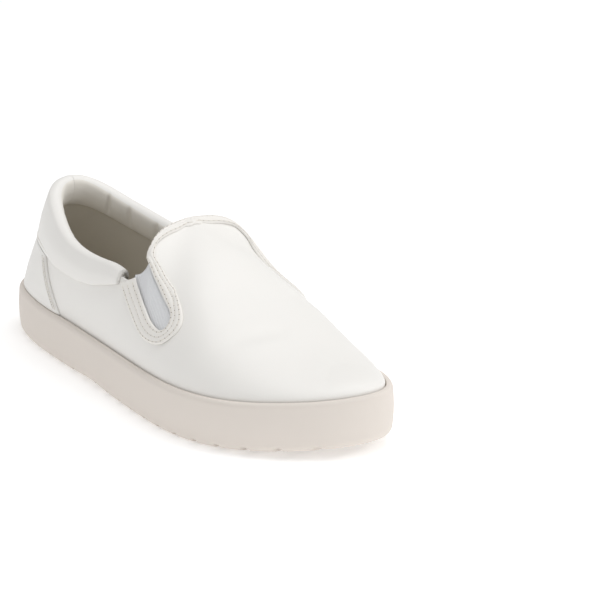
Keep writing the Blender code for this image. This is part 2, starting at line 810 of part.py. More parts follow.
def cut_gore(upper, side):
    """Take the gore's opening out of the upper with a prism along one direction."""
    inner_turn, inner_rise, outer_turn, outer_rise = binding_edges(side)
    count = len(GORE_BINDING) + 2
    turns = (inner_turn * (1 - GORE_CUT_SHARE) + outer_turn * GORE_CUT_SHARE)[:count]
    rises = (inner_rise * (1 - GORE_CUT_SHARE) + outer_rise * GORE_CUT_SHARE)[:count]
    turns = np.concatenate([turns, [turns[-1], turns[0]]])
    rises = np.concatenate([rises, [1.04, 1.04]])
    edge = surface(turns, rises, side)
    way = np.array([GORE_CUT_WAY[0], GORE_CUT_WAY[1] * side, GORE_CUT_WAY[2]])
    way /= np.linalg.norm(way)
    depth = edge @ way
    low = edge + np.outer(depth.min() - GORE_CUT_ROOM - depth, way)
    high = edge + np.outer(depth.max() + GORE_CUT_ROOM - depth, way)
    total = len(edge)
    ring = list(range(total))
    faces = [[i + total for i in ring], ring[::-1]]
    for i in range(total):
        j = (i + 1) % total
        faces.append([i, j, j + total, i + total])
    area = np.cross(high, np.roll(high, -1, axis=0)).sum(0) @ way
    if area < 0:
        faces = [face[::-1] for face in faces]
    name = "gore_cut_lateral" if side < 0 else "gore_cut_medial"
    cutter = make_object(name, np.vstack([low, high]), faces)
    cutter.hide_render = True
    cutter.display_type = "WIRE"
    add_boolean(upper, cutter, "DIFFERENCE")


def build_collar(look):
    """Padded collar round the opening: a deep U over the upper's top edge."""
    turns = main_turns()
    turns = np.concatenate([turns[turns < COLLAR_END_TURN - 0.01], [COLLAR_END_TURN]])
    sections = []
    for side in (-1, 1):
        length = column_length(turns, side)
        x_foot = inset_outline(turns, side, FEATHER_INSET)[:, 0]
        seam = np.interp(x_foot, COLLAR_SEAM[:, 0], COLLAR_SEAM[:, 1])
        low = np.array([rise_at_height(turns[i:i + 1], side, seam[i])[0] for i in range(len(turns))])
        shell_top = top_share(turns, side)
        room = COLLAR_GAP / length
        near_end = np.clip((turns / COLLAR_END_TURN - 0.62) / 0.38, 0.0, 1.0)
        pad = 1.0 - 0.45 * near_end**1.5

        def share(k):
            return low + (shell_top - low) * k

        def below(depth):
            return 1.0 - depth / length

        outer_face = LAYER_GAP + 0.1
        inner_face = -UPPER_WALL - COLLAR_GAP
        depth = LINING_DEPTH * pad
        ring = [
            (low, outer_face + 0.0 * pad),
            (low, outer_face + LEATHER + 0.0 * pad),
            (share(0.25), outer_face + LEATHER + 1.0 * pad),
            (share(0.55), outer_face + LEATHER + 1.7 * pad),
            (share(0.85), outer_face + LEATHER + 1.5 * pad),
            (below(2.6), outer_face + 1.4 + 0.6 * pad),
            (below(0.8), 0.9 * pad),
            (below(0.0), -1.3 - 0.2 * pad),
            (below(0.7), -2.6 - 1.2 * pad),
            (below(2.6), -3.2 - 2.4 * pad),
            (below(0.42 * depth), -3.2 - 3.2 * pad),
            (below(0.75 * depth), -3.2 - 2.4 * pad),
            (below(0.97 * depth), -3.2 - 0.6 * pad),
            (below(depth), inner_face + 0.0 * pad),
            (below(0.62 * depth), inner_face + 0.0 * pad),
            (shell_top + room, inner_face + 0.0 * pad),
            (shell_top + room, outer_face + 0.0 * pad),
            (share(0.75), outer_face + 0.0 * pad),
            (share(0.5), outer_face + 0.0 * pad),
            (share(0.25), outer_face + 0.0 * pad),
        ]
        lines = []
        for rise, offset in ring:
            lines.append(surface(turns, rise, side) + normal_at(turns, np.minimum(rise, 0.999), side) * offset[:, None])
        grid = np.stack(lines, 1)
        sections.append(grid[::-1] if side < 0 else grid[1:])
    grid = np.concatenate(sections)
    rows, columns = grid.shape[:2]
    points = grid.reshape(-1, 3)
    faces = []
    for i in range(rows - 1):
        for j in range(columns):
            k = (j + 1) % columns
            faces.append([i * columns + j, i * columns + k, (i + 1) * columns + k, (i + 1) * columns + j])
    faces.append(list(range(columns))[::-1])
    faces.append([(rows - 1) * columns + j for j in range(columns)])
    return make_object("collar", points, triangles(faces), look)


def main():
    """Build every solid."""
    clear_scene()
    rubber = material("sole_rubber", (0.80, 0.70, 0.64), 0.6)
    leather = material("white_leather", (0.86, 0.85, 0.82), 0.45)
    lining = material("lining", (0.72, 0.68, 0.60), 0.8)
    elastic = material("elastic", (0.74, 0.75, 0.76), 0.85)
    build_cupsole(rubber)
    build_footbed(lining)
    upper = build_upper(leather)
    for side in (-1, 1):
        cut_gore(upper, side)
        build_gore(side, elastic)
    build_counter(leather)
    build_binding(leather)
    build_collar(leather)


main()
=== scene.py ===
"""Looks of the right slip-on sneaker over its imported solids.

Every visible piece is computed from the shoe's own outline and surface functions, in
millimetres from the heel end of the sole (x), its long axis (y, outer side negative) and the
ground (z), and written in metres about the middle of the shoe's box.
"""
import logging
import math
from dataclasses import dataclass
from enum import IntEnum
from typing import Callable

import bpy
import numpy as np
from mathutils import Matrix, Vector

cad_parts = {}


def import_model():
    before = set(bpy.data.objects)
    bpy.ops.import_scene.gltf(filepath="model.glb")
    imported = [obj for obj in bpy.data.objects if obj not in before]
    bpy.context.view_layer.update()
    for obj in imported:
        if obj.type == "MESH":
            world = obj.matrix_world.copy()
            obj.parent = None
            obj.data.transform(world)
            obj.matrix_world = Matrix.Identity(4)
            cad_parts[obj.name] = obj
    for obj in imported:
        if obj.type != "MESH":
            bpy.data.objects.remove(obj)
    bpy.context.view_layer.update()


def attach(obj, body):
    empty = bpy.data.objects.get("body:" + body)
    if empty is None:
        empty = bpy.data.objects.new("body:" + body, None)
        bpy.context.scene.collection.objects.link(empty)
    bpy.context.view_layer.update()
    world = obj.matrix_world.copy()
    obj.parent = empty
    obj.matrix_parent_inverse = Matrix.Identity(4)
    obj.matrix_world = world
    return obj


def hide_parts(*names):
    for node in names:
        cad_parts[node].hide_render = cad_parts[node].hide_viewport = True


logging.basicConfig(level=logging.INFO, format="%(message)s")
LOG = logging.getLogger("sneaker")

# driving dimensions, millimetres
SOLE_LENGTH = 290.0
WALL_TOP = 25.6
TOE_SPRING = 6.6
SPRING_START = 0.70
ARCH_LIFT = 1.2
FEATHER_INSET = 4.0
WALL_GAP = 0.3
CUP_FLOOR = 10.0
FOOT_EDGE = 4.5
WALL_BULGE = 0.5
UPPER_WALL = 2.0
UPPER_FOOT = 10.5
LAYER_GAP = 0.3
LEATHER = 1.2
FOOTBED_THICK = 4.5
CREST_ROOM = 4.6
LINING_DEPTH = 17.0
GROOVE_PITCH = 14.0
GROOVE_WIDTH = 3.0
GROOVE_DEPTH = 2.6
GORE_WALL = 1.3

# sole outline: station share of the length, lateral and medial half width
OUTLINE = np.array([
    (0.00, 0.0, 0.0),
    (0.02, 14.7, 15.0),
    (0.06, 24.2, 25.1),
    (0.12, 31.4, 32.6),
    (0.20, 36.9, 36.5),
    (0.30, 41.0, 37.4),
    (0.40, 45.3, 38.4),
    (0.50, 49.9, 42.3),
    (0.60, 54.4, 48.6),
    (0.68, 56.5, 52.0),
    (0.75, 55.4, 50.6),
    (0.82, 50.6, 45.8),
    (0.88, 41.8, 40.6),
    (0.93, 30.4, 34.0),
    (0.97, 17.4, 25.6),
    (1.00, -7.0, 7.0),
])

# top edge of the upper from the heel's centre to the throat's centre: x, outward y, z
TOP_LATERAL = np.array([
    (30.0, -3.0, 87.8),
    (31.0, 3.5, 87.0),
    (37.0, 12.0, 83.4),
    (49.0, 19.0, 77.6),
    (64.0, 25.2, 72.4),
    (82.0, 30.2, 68.4),
    (100.0, 32.6, 66.8),
    (118.0, 33.8, 67.2),
    (132.0, 34.6, 67.4),
    (142.5, 34.6, 66.0),
    (149.5, 33.0, 68.2),
    (152.0, 30.4, 74.0),
    (149.5, 26.2, 81.4),
    (146.3, 19.0, 86.2),
    (144.2, 9.0, 88.4),
    (143.8, -2.0, 88.9),
])
TOP_MEDIAL = np.array([
    (30.0, 3.0, 87.8),
    (31.0, 9.5, 87.0),
    (37.0, 18.0, 83.4),
    (49.0, 24.5, 77.6),
    (64.0, 28.8, 72.6),
    (82.0, 31.4, 68.6),
    (100.0, 32.2, 66.8),
    (118.0, 33.0, 67.2),
    (132.0, 33.8, 67.4),
    (142.5, 34.0, 66.0),
    (149.5, 33.2, 68.2),
    (152.0, 31.6, 74.0),
    (149.5, 28.4, 81.2),
    (146.3, 22.4, 85.9),
    (144.2, 12.5, 88.3),
    (143.8, 2.0, 88.9),
])

# ridge of the vamp from the throat to behind the toe: x, y, z
RIDGE = np.array([
    (143.8, 2.0, 88.9),
    (170.0, 3.0, 78.0),
    (190.0, 5.0, 67.6),
    (210.0, 6.5, 57.8),
    (230.0, 7.0, 49.2),
    (246.0, 7.0, 43.6),
    (258.0, 7.0, 40.4),
])

# turn of a column's foot (0 heel, 1 toe), where its top lands (0-1 top edge, 1-2 ridge)
REACH = np.array([
    (0.00, 0.00),
    (0.10, 0.075),
    (0.20, 0.19),
    (0.30, 0.335),
    (0.40, 0.51),
    (0.47, 0.645),
    (0.53, 0.76),
    (0.575, 0.85),
    (0.61, 0.94),
    (0.64, 1.03),
    (0.68, 1.19),
    (0.74, 1.47),
    (0.80, 1.74),
    (0.86, 1.93),
    (0.90, 2.00),
    (1.00, 2.00),
])

# turn, lean of the column's foot outwards in degrees, share of its lower handle,
# share of its upper handle, turn of its upper end outwards in degrees, its forward pull
SHAPE = np.array([
    (0.00, -12.0, 0.33, 0.34, 12.0, 0.0),
    (0.10, -12.0, 0.33, 0.34, 12.0, 0.0),
    (0.20, -8.0, 0.33, 0.32, 12.0, 0.0),
    (0.30, -1.0, 0.33, 0.32, 15.0, 0.0),
    (0.40, 4.0, 0.32, 0.31, 19.0, 0.0),
    (0.47, 6.0, 0.30, 0.29, 26.0, 0.0),
    (0.50, 6.0, 0.29, 0.28, 32.0, 0.14),
    (0.53, 5.0, 0.27, 0.25, 40.0, 0.45),
    (0.55, 4.0, 0.26, 0.24, 48.0, 0.75),
    (0.575, 3.0, 0.25, 0.22, 56.0, 0.95),
    (0.61, 1.0, 0.23, 0.20, 72.0, 0.75),
    (0.64, 0.0, 0.21, 0.19, 82.0, 0.50),
    (0.68, 0.0, 0.20, 0.18, 88.0, 0.26),
    (0.74, 0.0, 0.18, 0.16, 90.0, 0.08),
    (0.80, 0.0, 0.18, 0.16, 90.0, 0.0),
    (0.86, 0.0, 0.18, 0.20, 90.0, 0.0),
    (0.90, 0.0, 0.20, 0.26, 90.0, 0.0),
    (1.00, 0.0, 0.22, 0.32, 90.0, 0.0),
])

# lower seam of the collar panel: x of the column's foot, height
COLLAR_SEAM = np.array([
    (0.0, 55.0),
    (30.0, 53.5),
    (60.0, 51.0),
    (90.0, 50.5),
    (110.0, 52.5),
    (130.0, 57.0),
    (150.0, 61.5),
    (290.0, 61.5),
])

# turn at which the collar ends, and its clearance round the shell's edge
COLLAR_END_TURN = 0.485
COLLAR_GAP = 0.6

# fall of the columns' upper handles for each millimetre that they are pulled forward
VAMP_SLOPE = -0.40

# front edge of the heel counter: height, x
COUNTER_FRONT = np.array([
    (20.0, 82.0),
    (30.0, 72.5),
    (40.0, 62.5),
    (50.0, 52.5),
    (60.0, 46.0),
])

# binding of the gore from the rear top round to the front: x and z of its inner edge,
# then x and z of its outer edge
GORE_BINDING = np.array([
    (147.7, 64.6, 138.0, 60.0),
    (153.0, 61.0, 144.6, 54.5),
    (159.8, 57.9, 151.8, 49.3),
    (166.9, 54.3, 158.8, 45.3),
    (173.4, 50.5, 167.6, 41.7),
    (179.3, 48.2, 176.6, 40.4),
    (183.5, 47.7, 185.1, 41.2),
    (185.9, 49.6, 190.6, 44.3),
    (185.2, 52.8, 193.7, 48.2),
    (181.6, 56.2, 193.9, 52.2),
    (175.8, 59.5, 190.1, 56.3),
    (169.5, 63.4, 182.7, 60.7),
    (163.3, 67.5, 172.3, 65.7),
    (158.9, 70.8, 163.9, 70.6),
])

# binding over the throat, from the gore to the middle: turn where its inner edge sits on the
# top edge, then turn and rise of its outer edge
THROAT_BINDING = np.array([
    (0.5450, 0.5900, 0.735),
    (0.5580, 0.5845, 0.822),
    (0.5720, 0.5867, 0.872),
    (0.5840, 0.5987, 0.878),
    (0.5960, 0.6136, 0.878),
    (0.6080, 0.6270, 0.885),
    (0.6200, 0.6390, 0.935),
    (0.6307, 0.6440, 1.000),
])
THROAT_RISE = 0.995

# how far the gore lies under the upper's outer face
GORE_DROP = 0.7

# gaps of the heel counter to the collar's seam above it and to the sole below it
COUNTER_TOP_GAP = 0.6
COUNTER_FOOT_GAP = 0.35

# the binding's fullness as a share of the leather, and the low ridges that its seams press up
BINDING_FULL = 0.95
BINDING_RIDGE = 0.14
BINDING_RIDGES = 3.0


class Side(IntEnum):
    """Side of the shoe; the value is the sign that y has there."""

    LATERAL = -1
    MEDIAL = 1


def natural_spline(knots: np.ndarray, values: np.ndarray, where: np.ndarray) -> np.ndarray:
    """Natural cubic spline: cubics whose second slopes join at the knots and end at nought.

    Args:
        knots: Rising places of the knots.
        values: One row of values a knot.
        where: Places to read.

    Returns:
        One row of values a place.
    """
    knots = np.asarray(knots, float)
    values = np.asarray(values, float)
    flat = values.reshape(len(knots), -1)
    step = np.diff(knots)
    count = len(knots)
    system = np.eye(count)
    right = np.zeros((count, flat.shape[1]))
    for i in range(1, count - 1):
        system[i, i - 1] = step[i - 1]
        system[i, i] = 2.0 * (step[i - 1] + step[i])
        system[i, i + 1] = step[i]
        rise_on = (flat[i + 1] - flat[i]) / step[i]
        rise_back = (flat[i] - flat[i - 1]) / step[i - 1]
        right[i] = 6.0 * (rise_on - rise_back)
    bend = np.linalg.solve(system, right)
    where = np.asarray(where, float)
    k = np.clip(np.searchsorted(knots, where, side="right") - 1, 0, count - 2)
    span = step[k][:, None]
    a = (knots[k + 1] - where)[:, None] / span
    b = 1.0 - a
    out = a * flat[k] + b * flat[k + 1]
    out = out + ((a**3 - a) * bend[k] + (b**3 - b) * bend[k + 1]) * span * span / 6.0
    return out.reshape((len(where),) + values.shape[1:])


def monotone_spline(knots: np.ndarray, values: np.ndarray, where: np.ndarray) -> np.ndarray:
    """Cubic that never overshoots: a knot's slope is the harmonic mean of the rates beside it.

    Args:
        knots: Rising places of the knots.
        values: One value a knot.
        where: Places to read.

    Returns:
        One value a place.
    """
    knots = np.asarray(knots, float)
    values = np.asarray(values, float)
    span = np.diff(knots)
    rate = np.diff(values) / span
    slope = np.zeros(len(knots))
    w1 = 2.0 * span[1:] + span[:-1]
    w2 = span[1:] + 2.0 * span[:-1]
    same = rate[:-1] * rate[1:] > 0
    back = np.where(same, rate[:-1], 1.0)
    ahead = np.where(same, rate[1:], 1.0)
    slope[1:-1] = np.where(same, (w1 + w2) / (w1 / back + w2 / ahead), 0.0)
    slope[0] = rate[0]
    slope[-1] = rate[-1]
    where = np.asarray(where, float)
    k = np.clip(np.searchsorted(knots, where, side="right") - 1, 0, len(knots) - 2)
    t = (where - knots[k]) / span[k]
    out = (2 * t**3 - 3 * t**2 + 1) * values[k]
    out = out + (t**3 - 2 * t**2 + t) * span[k] * slope[k]
    return out + (3 * t**2 - 2 * t**3) * values[k + 1] + (t**3 - t**2) * span[k] * slope[k + 1]


def chord_shares(points: np.ndarray) -> np.ndarray:
    """Share of the way along a polyline: summed chords over their whole length.

    Args:
        points: Points of the polyline.

    Returns:
        Share at each point.
    """
    gaps = np.linalg.norm(np.diff(points, axis=0), axis=1)
    along = np.concatenate([[0.0], np.cumsum(gaps)])
    return along / along[-1]


def outline_at(turn: np.ndarray, side: Side) -> np.ndarray:
    """Sole outline on one side: x is length * (1 - cos(pi * turn)) / 2, y a spline over the turn.

    Args:
        turn: Turns, 0 at the heel's end and 1 at the toe's.
        side: Side of the shoe.

    Returns:
        Plan points.
    """
    knots = np.arccos(1.0 - 2.0 * OUTLINE[:, 0]) / math.pi
    lateral = -OUTLINE[:, 1]
    medial = OUTLINE[:, 2]
    own, other = (lateral, medial) if side < 0 else (medial, lateral)
    all_knots = np.concatenate([-knots[1:6][::-1], knots, 2.0 - knots[::-1][1:6]])
    values = np.concatenate([other[1:6][::-1], own, other[::-1][1:6]])
    turn = np.asarray(turn, float)
    x = SOLE_LENGTH * (1.0 - np.cos(math.pi * turn)) / 2.0
    return np.stack([x, natural_spline(all_knots, values, turn)], 1)


def outward_at(turn: np.ndarray, side: Side) -> np.ndarray:
    """Unit direction out of the outline: its small step forward, turned by a right angle.

    Args:
        turn: Turns.
        side: Side of the shoe.

    Returns:
        Plan directions.
    """
    along = outline_at(turn + 1e-4, side) - outline_at(turn - 1e-4, side)
    normal = np.stack([along[:, 1], -along[:, 0]], 1)
    if side > 0:
        normal = -normal
    return normal / np.linalg.norm(normal, axis=1)[:, None]


def inset_outline(turn: np.ndarray, side: Side, inset: float) -> np.ndarray:
    """The outline moved inwards along its own outward direction.

    Args:
        turn: Turns.
        side: Side of the shoe.
        inset: Distance inwards in millimetres.

    Returns:
        Plan points.
    """
    turn = np.asarray(turn, float)
    return outline_at(turn, side) - outward_at(turn, side) * inset


def toe_lift(x: np.ndarray) -> np.ndarray:
    """Rise of the sole towards the toe, with the square of the way from the spring's start.

    Args:
        x: Places along the sole.

    Returns:
        Rise at each place.
    """
    share = np.clip((x / SOLE_LENGTH - SPRING_START) / (1.0 - SPRING_START), 0.0, 1.0)
    return TOE_SPRING * share**2


def arch_lift(x: np.ndarray) -> np.ndarray:
    """Small rise of the tread between heel and ball, a squared half wave.

    Args:
        x: Places along the sole.

    Returns:
        Rise at each place.
    """
    share = np.clip((x / SOLE_LENGTH - 0.30) / 0.20, 0.0, 1.0)
    return ARCH_LIFT * np.sin(math.pi * share) ** 2


def column_points(turn: np.ndarray, side: Side) -> tuple:
    """Foot, two handles and top of the upper's columns.

    A column stands on the feather line and lands on the top edge or the vamp's ridge. Its
    handles point along its lean at the foot and its turn at the top, each a share of its chord.

    Args:
        turn: Turns of the columns.
        side: Side of the shoe.

    Returns:
        Foot, lower handle, upper handle and top, one point a column each.
    """
    turn = np.asarray(turn, float)
    plan = inset_outline(turn, side, FEATHER_INSET)
    foot = np.column_stack([plan, WALL_TOP + toe_lift(plan[:, 0])])
    edge = (TOP_LATERAL if side < 0 else TOP_MEDIAL).copy()
    edge[:, 1] *= side
    reach = monotone_spline(REACH[:, 0], REACH[:, 1], turn)
    on_edge = natural_spline(chord_shares(edge), edge, np.clip(reach, 0.0, 1.0))
    ridge_shares = chord_shares(RIDGE)
    back = np.clip(reach - 1.0, 0.0, 1.0) * 0.999
    on_ridge = natural_spline(ridge_shares, RIDGE, np.clip(reach - 1.0, 0.0, 1.0))
    ahead_on_ridge = natural_spline(ridge_shares, RIDGE, back + 0.001)
    rise = ahead_on_ridge - natural_spline(ridge_shares, RIDGE, back)
    slope = rise[:, 2] / rise[:, 0]
    top = np.where(reach[:, None] < 1.0, on_edge, on_ridge)
    shape = natural_spline(SHAPE[:, 0], SHAPE[:, 1:], turn)
    lean = np.radians(shape[:, 0])
    fall = np.radians(shape[:, 3])
    normal = outward_at(turn, side)
    angle_foot = np.arctan2(normal[:, 1] * side, normal[:, 0])
    angle_ridge = math.radians(90.0) * (1.0 - np.clip((turn - 0.86) / 0.14, 0.0, 1.0))
    blend = np.clip((turn - 0.50) / 0.12, 0.0, 1.0)
    blend = blend * blend * (3.0 - 2.0 * blend)
    angle = angle_foot * (1.0 - blend) + angle_ridge * blend
    out = np.stack([np.cos(angle), np.sin(angle) * side], 1)
    length = np.linalg.norm(top - foot, axis=1)[:, None]
    low = np.column_stack([normal * np.sin(lean)[:, None], np.cos(lean)])
    drop = np.where(reach >= 1.0, slope * out[:, 0], 0.0)
    high = np.column_stack([out * np.sin(fall)[:, None], -np.cos(fall) + drop * np.sin(fall)])
    ahead = np.clip(shape[:, 4], 0.0, None)
    high[:, 0] += ahead
    high[:, 2] += ahead * VAMP_SLOPE
    high /= np.linalg.norm(high, axis=1)[:, None]
    lower = foot + low * length * shape[:, 1:2]
    upper = top + high * length * shape[:, 2:3]
    return foot, lower, upper, top


def surface(turn: np.ndarray, rise: np.ndarray, side: Side) -> np.ndarray:
    """Outer face of the upper: a cubic column at each turn, straight down below its foot.

    Args:
        turn: Turns.
        rise: Rises, 0 at the feather line and 1 at the top edge.
        side: Side of the shoe.

    Returns:
        Points in millimetres.
    """
    turn = np.asarray(turn, float)
    rise = np.asarray(rise, float)
    foot, lower, upper, top = column_points(turn, side)
    v = np.clip(rise, 0.0, 1.2)[:, None]
    w = 1.0 - v
    out = w**3 * foot + 3 * w * w * v * lower + 3 * w * v * v * upper + v**3 * top
    out[:, 2] += np.minimum(rise, 0.0) * (WALL_TOP - UPPER_FOOT)
    return out


def normal_at(turn: np.ndarray, rise: np.ndarray, side: Side) -> np.ndarray:
    """Unit outward normal of the upper: the cross product of small steps along and across.

    Args:
        turn: Turns.
        rise: Rises.
        side: Side of the shoe.

    Returns:
        Unit normals.
    """
    turn = np.asarray(turn, float)
    rise = np.asarray(rise, float)
    step = 1e-3
    along = surface(turn + step, rise, side) - surface(turn - step, rise, side)
    v = np.clip(rise, step, 1.0)
    across = surface(turn, v + step, side) - surface(turn, v - step, side)
    normal = np.cross(along, across)
    if side > 0:
        normal = -normal
    return normal / (np.linalg.norm(normal, axis=1)[:, None] + 1e-12)


def column_length(turn: np.ndarray, side: Side) -> np.ndarray:
    """Length of each column, as twelve chords from the feather line to its top.

    Args:
        turn: Turns of the columns.
        side: Side of the shoe.

    Returns:
        Lengths in millimetres.
    """
    shares = np.linspace(0.0, 1.0, 13)
    lines = np.stack([surface(turn, np.full(len(turn), s), side) for s in shares], 1)
    return np.linalg.norm(np.diff(lines, axis=1), axis=2).sum(1)


def rise_at_height(turn: np.ndarray, side: Side, height: np.ndarray) -> np.ndarray:
    """Rise at which each column reaches a height, found by halving.

    Args:
        turn: Turns of the columns.
        side: Side of the shoe.
        height: Height for each column.

    Returns:
        Rises.
    """
    low = np.zeros(len(turn))
    high = np.ones(len(turn))
    for _ in range(30):
        middle = (low + high) / 2.0
        below = surface(turn, middle, side)[:, 2] < height
        low = np.where(below, middle, low)
        high = np.where(below, high, middle)
    return (low + high) / 2.0


def locate(x: np.ndarray, z: np.ndarray, side: Side, turn: np.ndarray, rise: np.ndarray) -> tuple:
    """Turn and rise of the surface points with this x and z, by held steps down the slopes.

    Args:
        x: Places along the shoe.
        z: Heights.
        side: Side of the shoe.
        turn: First guess of the turns.
        rise: First guess of the rises.

    Returns:
        Turns and rises.
    """
    turn = np.asarray(turn, float).copy()
    rise = np.asarray(rise, float).copy()
    step = 1e-4
    for _ in range(14):
        here = surface(turn, rise, side)[:, [0, 2]]
        d_turn = (surface(turn + step, rise, side)[:, [0, 2]] - here) / step
        d_rise = (surface(turn, rise + step, side)[:, [0, 2]] - here) / step
        miss = np.stack([x, z], 1) - here
        det = d_turn[:, 0] * d_rise[:, 1] - d_turn[:, 1] * d_rise[:, 0]
        turn += np.clip((miss[:, 0] * d_rise[:, 1] - miss[:, 1] * d_rise[:, 0]) / det, -0.02, 0.02)
        rise += np.clip((miss[:, 1] * d_turn[:, 0] - miss[:, 0] * d_turn[:, 1]) / det, -0.08, 0.08)
        rise = np.clip(rise, 0.0, 1.15)
    return turn, rise


BOX_MID_Y = (float(OUTLINE[:, 2].max()) - float(OUTLINE[:, 1].max())) / 2.0


def to_row(points: np.ndarray) -> np.ndarray:
    """Millimetres from the heel to metres about the middle of the box.

    Args:
        points: Points in millimetres.

    Returns:
        Points in metres.
    """
    moved = np.asarray(points, float) - np.array([SOLE_LENGTH / 2.0, BOX_MID_Y, 0.0])
    return moved / 1000.0


def loop_points(turns: np.ndarray, inset: float, height: Callable) -> np.ndarray:
    """Closed loop round the sole: up the lateral side, back along the medial one.

    Args:
        turns: Turns from heel to toe.
        inset: Inset from the outline.
        height: Function that gives the height at x.

    Returns:
        Points of the loop.
    """
    lateral = inset_outline(turns, -1, inset)
    medial = inset_outline(turns, 1, inset)[::-1]
    plan = np.vstack([lateral, medial[1:-1]])
    return np.column_stack([plan, height(plan[:, 0])])


def top_share(turns: np.ndarray, side: Side) -> np.ndarray:
    """Rise at which the shell ends: under the collar's crest by its room, full elsewhere.

    Args:
        turns: Turns of the columns.
        side: Side of the shoe.

    Returns:
        Rises.
    """
    length = column_length(turns, side)
    blend = np.clip((turns - COLLAR_END_TURN - 0.0125) / 0.035, 0.0, 1.0)
    blend = blend * blend * (3.0 - 2.0 * blend)
    return 1.0 - CREST_ROOM / length * (1.0 - blend)


def binding_edges(side: Side) -> tuple:
    """Inner and outer edge of the binding from the gore's rear top to the throat's middle.

    Args:
        side: Side of the shoe.

    Returns:
        Turns and rises of the inner edge, then of the outer edge.
    """
    count = len(GORE_BINDING)
    guess_turn = np.interp(np.arange(count), [0, 6, 13], [0.52, 0.60, 0.61])
    guess_rise = np.interp(np.arange(count), [0, 6, 13], [0.9, 0.3, 0.6])
    inner = locate(GORE_BINDING[:, 0], GORE_BINDING[:, 1], side, guess_turn, guess_rise)
    outer = locate(GORE_BINDING[:, 2], GORE_BINDING[:, 3], side, guess_turn, guess_rise)
    inner_turn = np.concatenate([inner[0], THROAT_BINDING[:, 0]])
    inner_rise = np.concatenate([inner[1], np.full(len(THROAT_BINDING), THROAT_RISE)])
    outer_turn = np.concatenate([outer[0], THROAT_BINDING[:, 1]])
    outer_rise = np.concatenate([outer[1], np.minimum(THROAT_BINDING[:, 2], THROAT_RISE)])
    return inner_turn, inner_rise, outer_turn, outer_rise


def seam_height(turns: np.ndarray, side: Side) -> np.ndarray:
    """Height of the collar's lower seam over each column's foot, read along its table.

    Args:
        turns: Turns of the columns.
        side: Side of the shoe.

    Returns:
        Heights.
    """
    x_foot = inset_outline(turns, side, FEATHER_INSET)[:, 0]
    return np.interp(x_foot, COLLAR_SEAM[:, 0], COLLAR_SEAM[:, 1])


@dataclass(frozen=True)
class Finish:
    """Look of one material: colour, gloss and the grain pressed into it.

    Attributes:
        name: Name of the material.
        color: Hex colour as seen in the photograph.
        roughness: Roughness of the surface.
        grain: Grains along one metre.
        relief: Height of the grain in metres.
        coat: Weight of the clear coat.
        sheen: Weight of the soft sheen.
        mottle: Share by which the colour varies.
    """

    name: str
    color: str
    roughness: float
    grain: float
    relief: float
    coat: float = 0.0
    sheen: float = 0.0
    mottle: float = 0.02

    def build(self) -> bpy.types.Material:
        """Make the material.

        Returns:
            The finished node material.
        """
        made = bpy.data.materials.new(self.name)
        made.use_nodes = True
        tree = made.node_tree
        shader = tree.nodes["Principled BSDF"]
        place = add_node(tree, "ShaderNodeTexCoord")
        cloud = add_node(tree, "ShaderNodeTexNoise", Scale=38.0, Detail=3.0)
        tint = add_node(tree, "ShaderNodeMix")
        tint.data_type = "RGBA"
        color = from_hex(self.color)
        tint.inputs[6].default_value = (*[c * (1.0 - self.mottle) for c in color], 1.0)
        tint.inputs[7].default_value = (*[min(1.0, c * (1.0 + self.mottle)) for c in color], 1.0)
        grain = add_node(tree, "ShaderNodeTexNoise", Scale=self.grain, Detail=4.0, Roughness=0.6)
        bump = add_node(tree, "ShaderNodeBump", Strength=0.6, Distance=self.relief)
        tree.links.new(place.outputs["Object"], cloud.inputs["Vector"])
        tree.links.new(place.outputs["Object"], grain.inputs["Vector"])
        tree.links.new(cloud.outputs["Fac"], tint.inputs[0])
        tree.links.new(tint.outputs[2], shader.inputs["Base Color"])
        tree.links.new(grain.outputs["Fac"], bump.inputs["Height"])
        tree.links.new(bump.outputs["Normal"], shader.inputs["Normal"])
        shader.inputs["Roughness"].default_value = self.roughness
        shader.inputs["Coat Weight"].default_value = self.coat
        shader.inputs["Coat Roughness"].default_value = 0.35
        shader.inputs["Sheen Weight"].default_value = self.sheen
        return made


# pigmented full-grain leather, pressed smooth: an even white with a low, wide gleam
LEATHER_FINISH = Finish("leather_white", "#F1EFEB", 0.48, 1500.0, 0.00012, coat=0.12, mottle=0.012)
# the same leather, split thinner and turned under: a shade duller
BINDING_FINISH = Finish("leather_binding", "#EFECE7", 0.52, 1500.0, 0.00012, coat=0.08, mottle=0.012)
# moulded rubber: matt and slightly warm
RUBBER_FINISH = Finish("rubber_wall", "#E4DCD4", 0.72, 2400.0, 0.00008, mottle=0.012)
# brushed fabric over foam: matt with a soft edge
PADDED_FINISH = Finish("lining_padded", "#ECE8E0", 0.85, 2600.0, 0.00015, sheen=0.2)
# woven fabric of the lower lining and the insole: matt and darker
LINING_FINISH = Finish("lining_lower", "#CFC9BD", 0.92, 2600.0, 0.00018, sheen=0.2)
# spun polyester thread: near the leather's colour, without its gleam
THREAD_FINISH = Finish("thread", "#E4DFD6", 0.75, 5000.0, 0.00005)
# shade inside a pricked hole
HOLE_FINISH = Finish("needle_hole", "#8F8375", 0.9, 2000.0, 0.00002)
# knitted elastic: matt, a little bluer than the leather
ELASTIC_FINISH = Finish("elastic_rib", "#E1E2E4", 0.85, 3000.0, 0.0001, sheen=0.2)


def from_hex(text: str) -> tuple:
    """Linear colour from a hex colour.

    Args:
        text: Colour as in #RRGGBB.

    Returns:
        Red, green and blue as linear values.
    """
    parts = np.array([int(text[i:i + 2], 16) for i in (1, 3, 5)]) / 255.0
    curved = ((parts + 0.055) / 1.055) ** 2.4
    return tuple(np.where(parts <= 0.04045, parts / 12.92, curved))


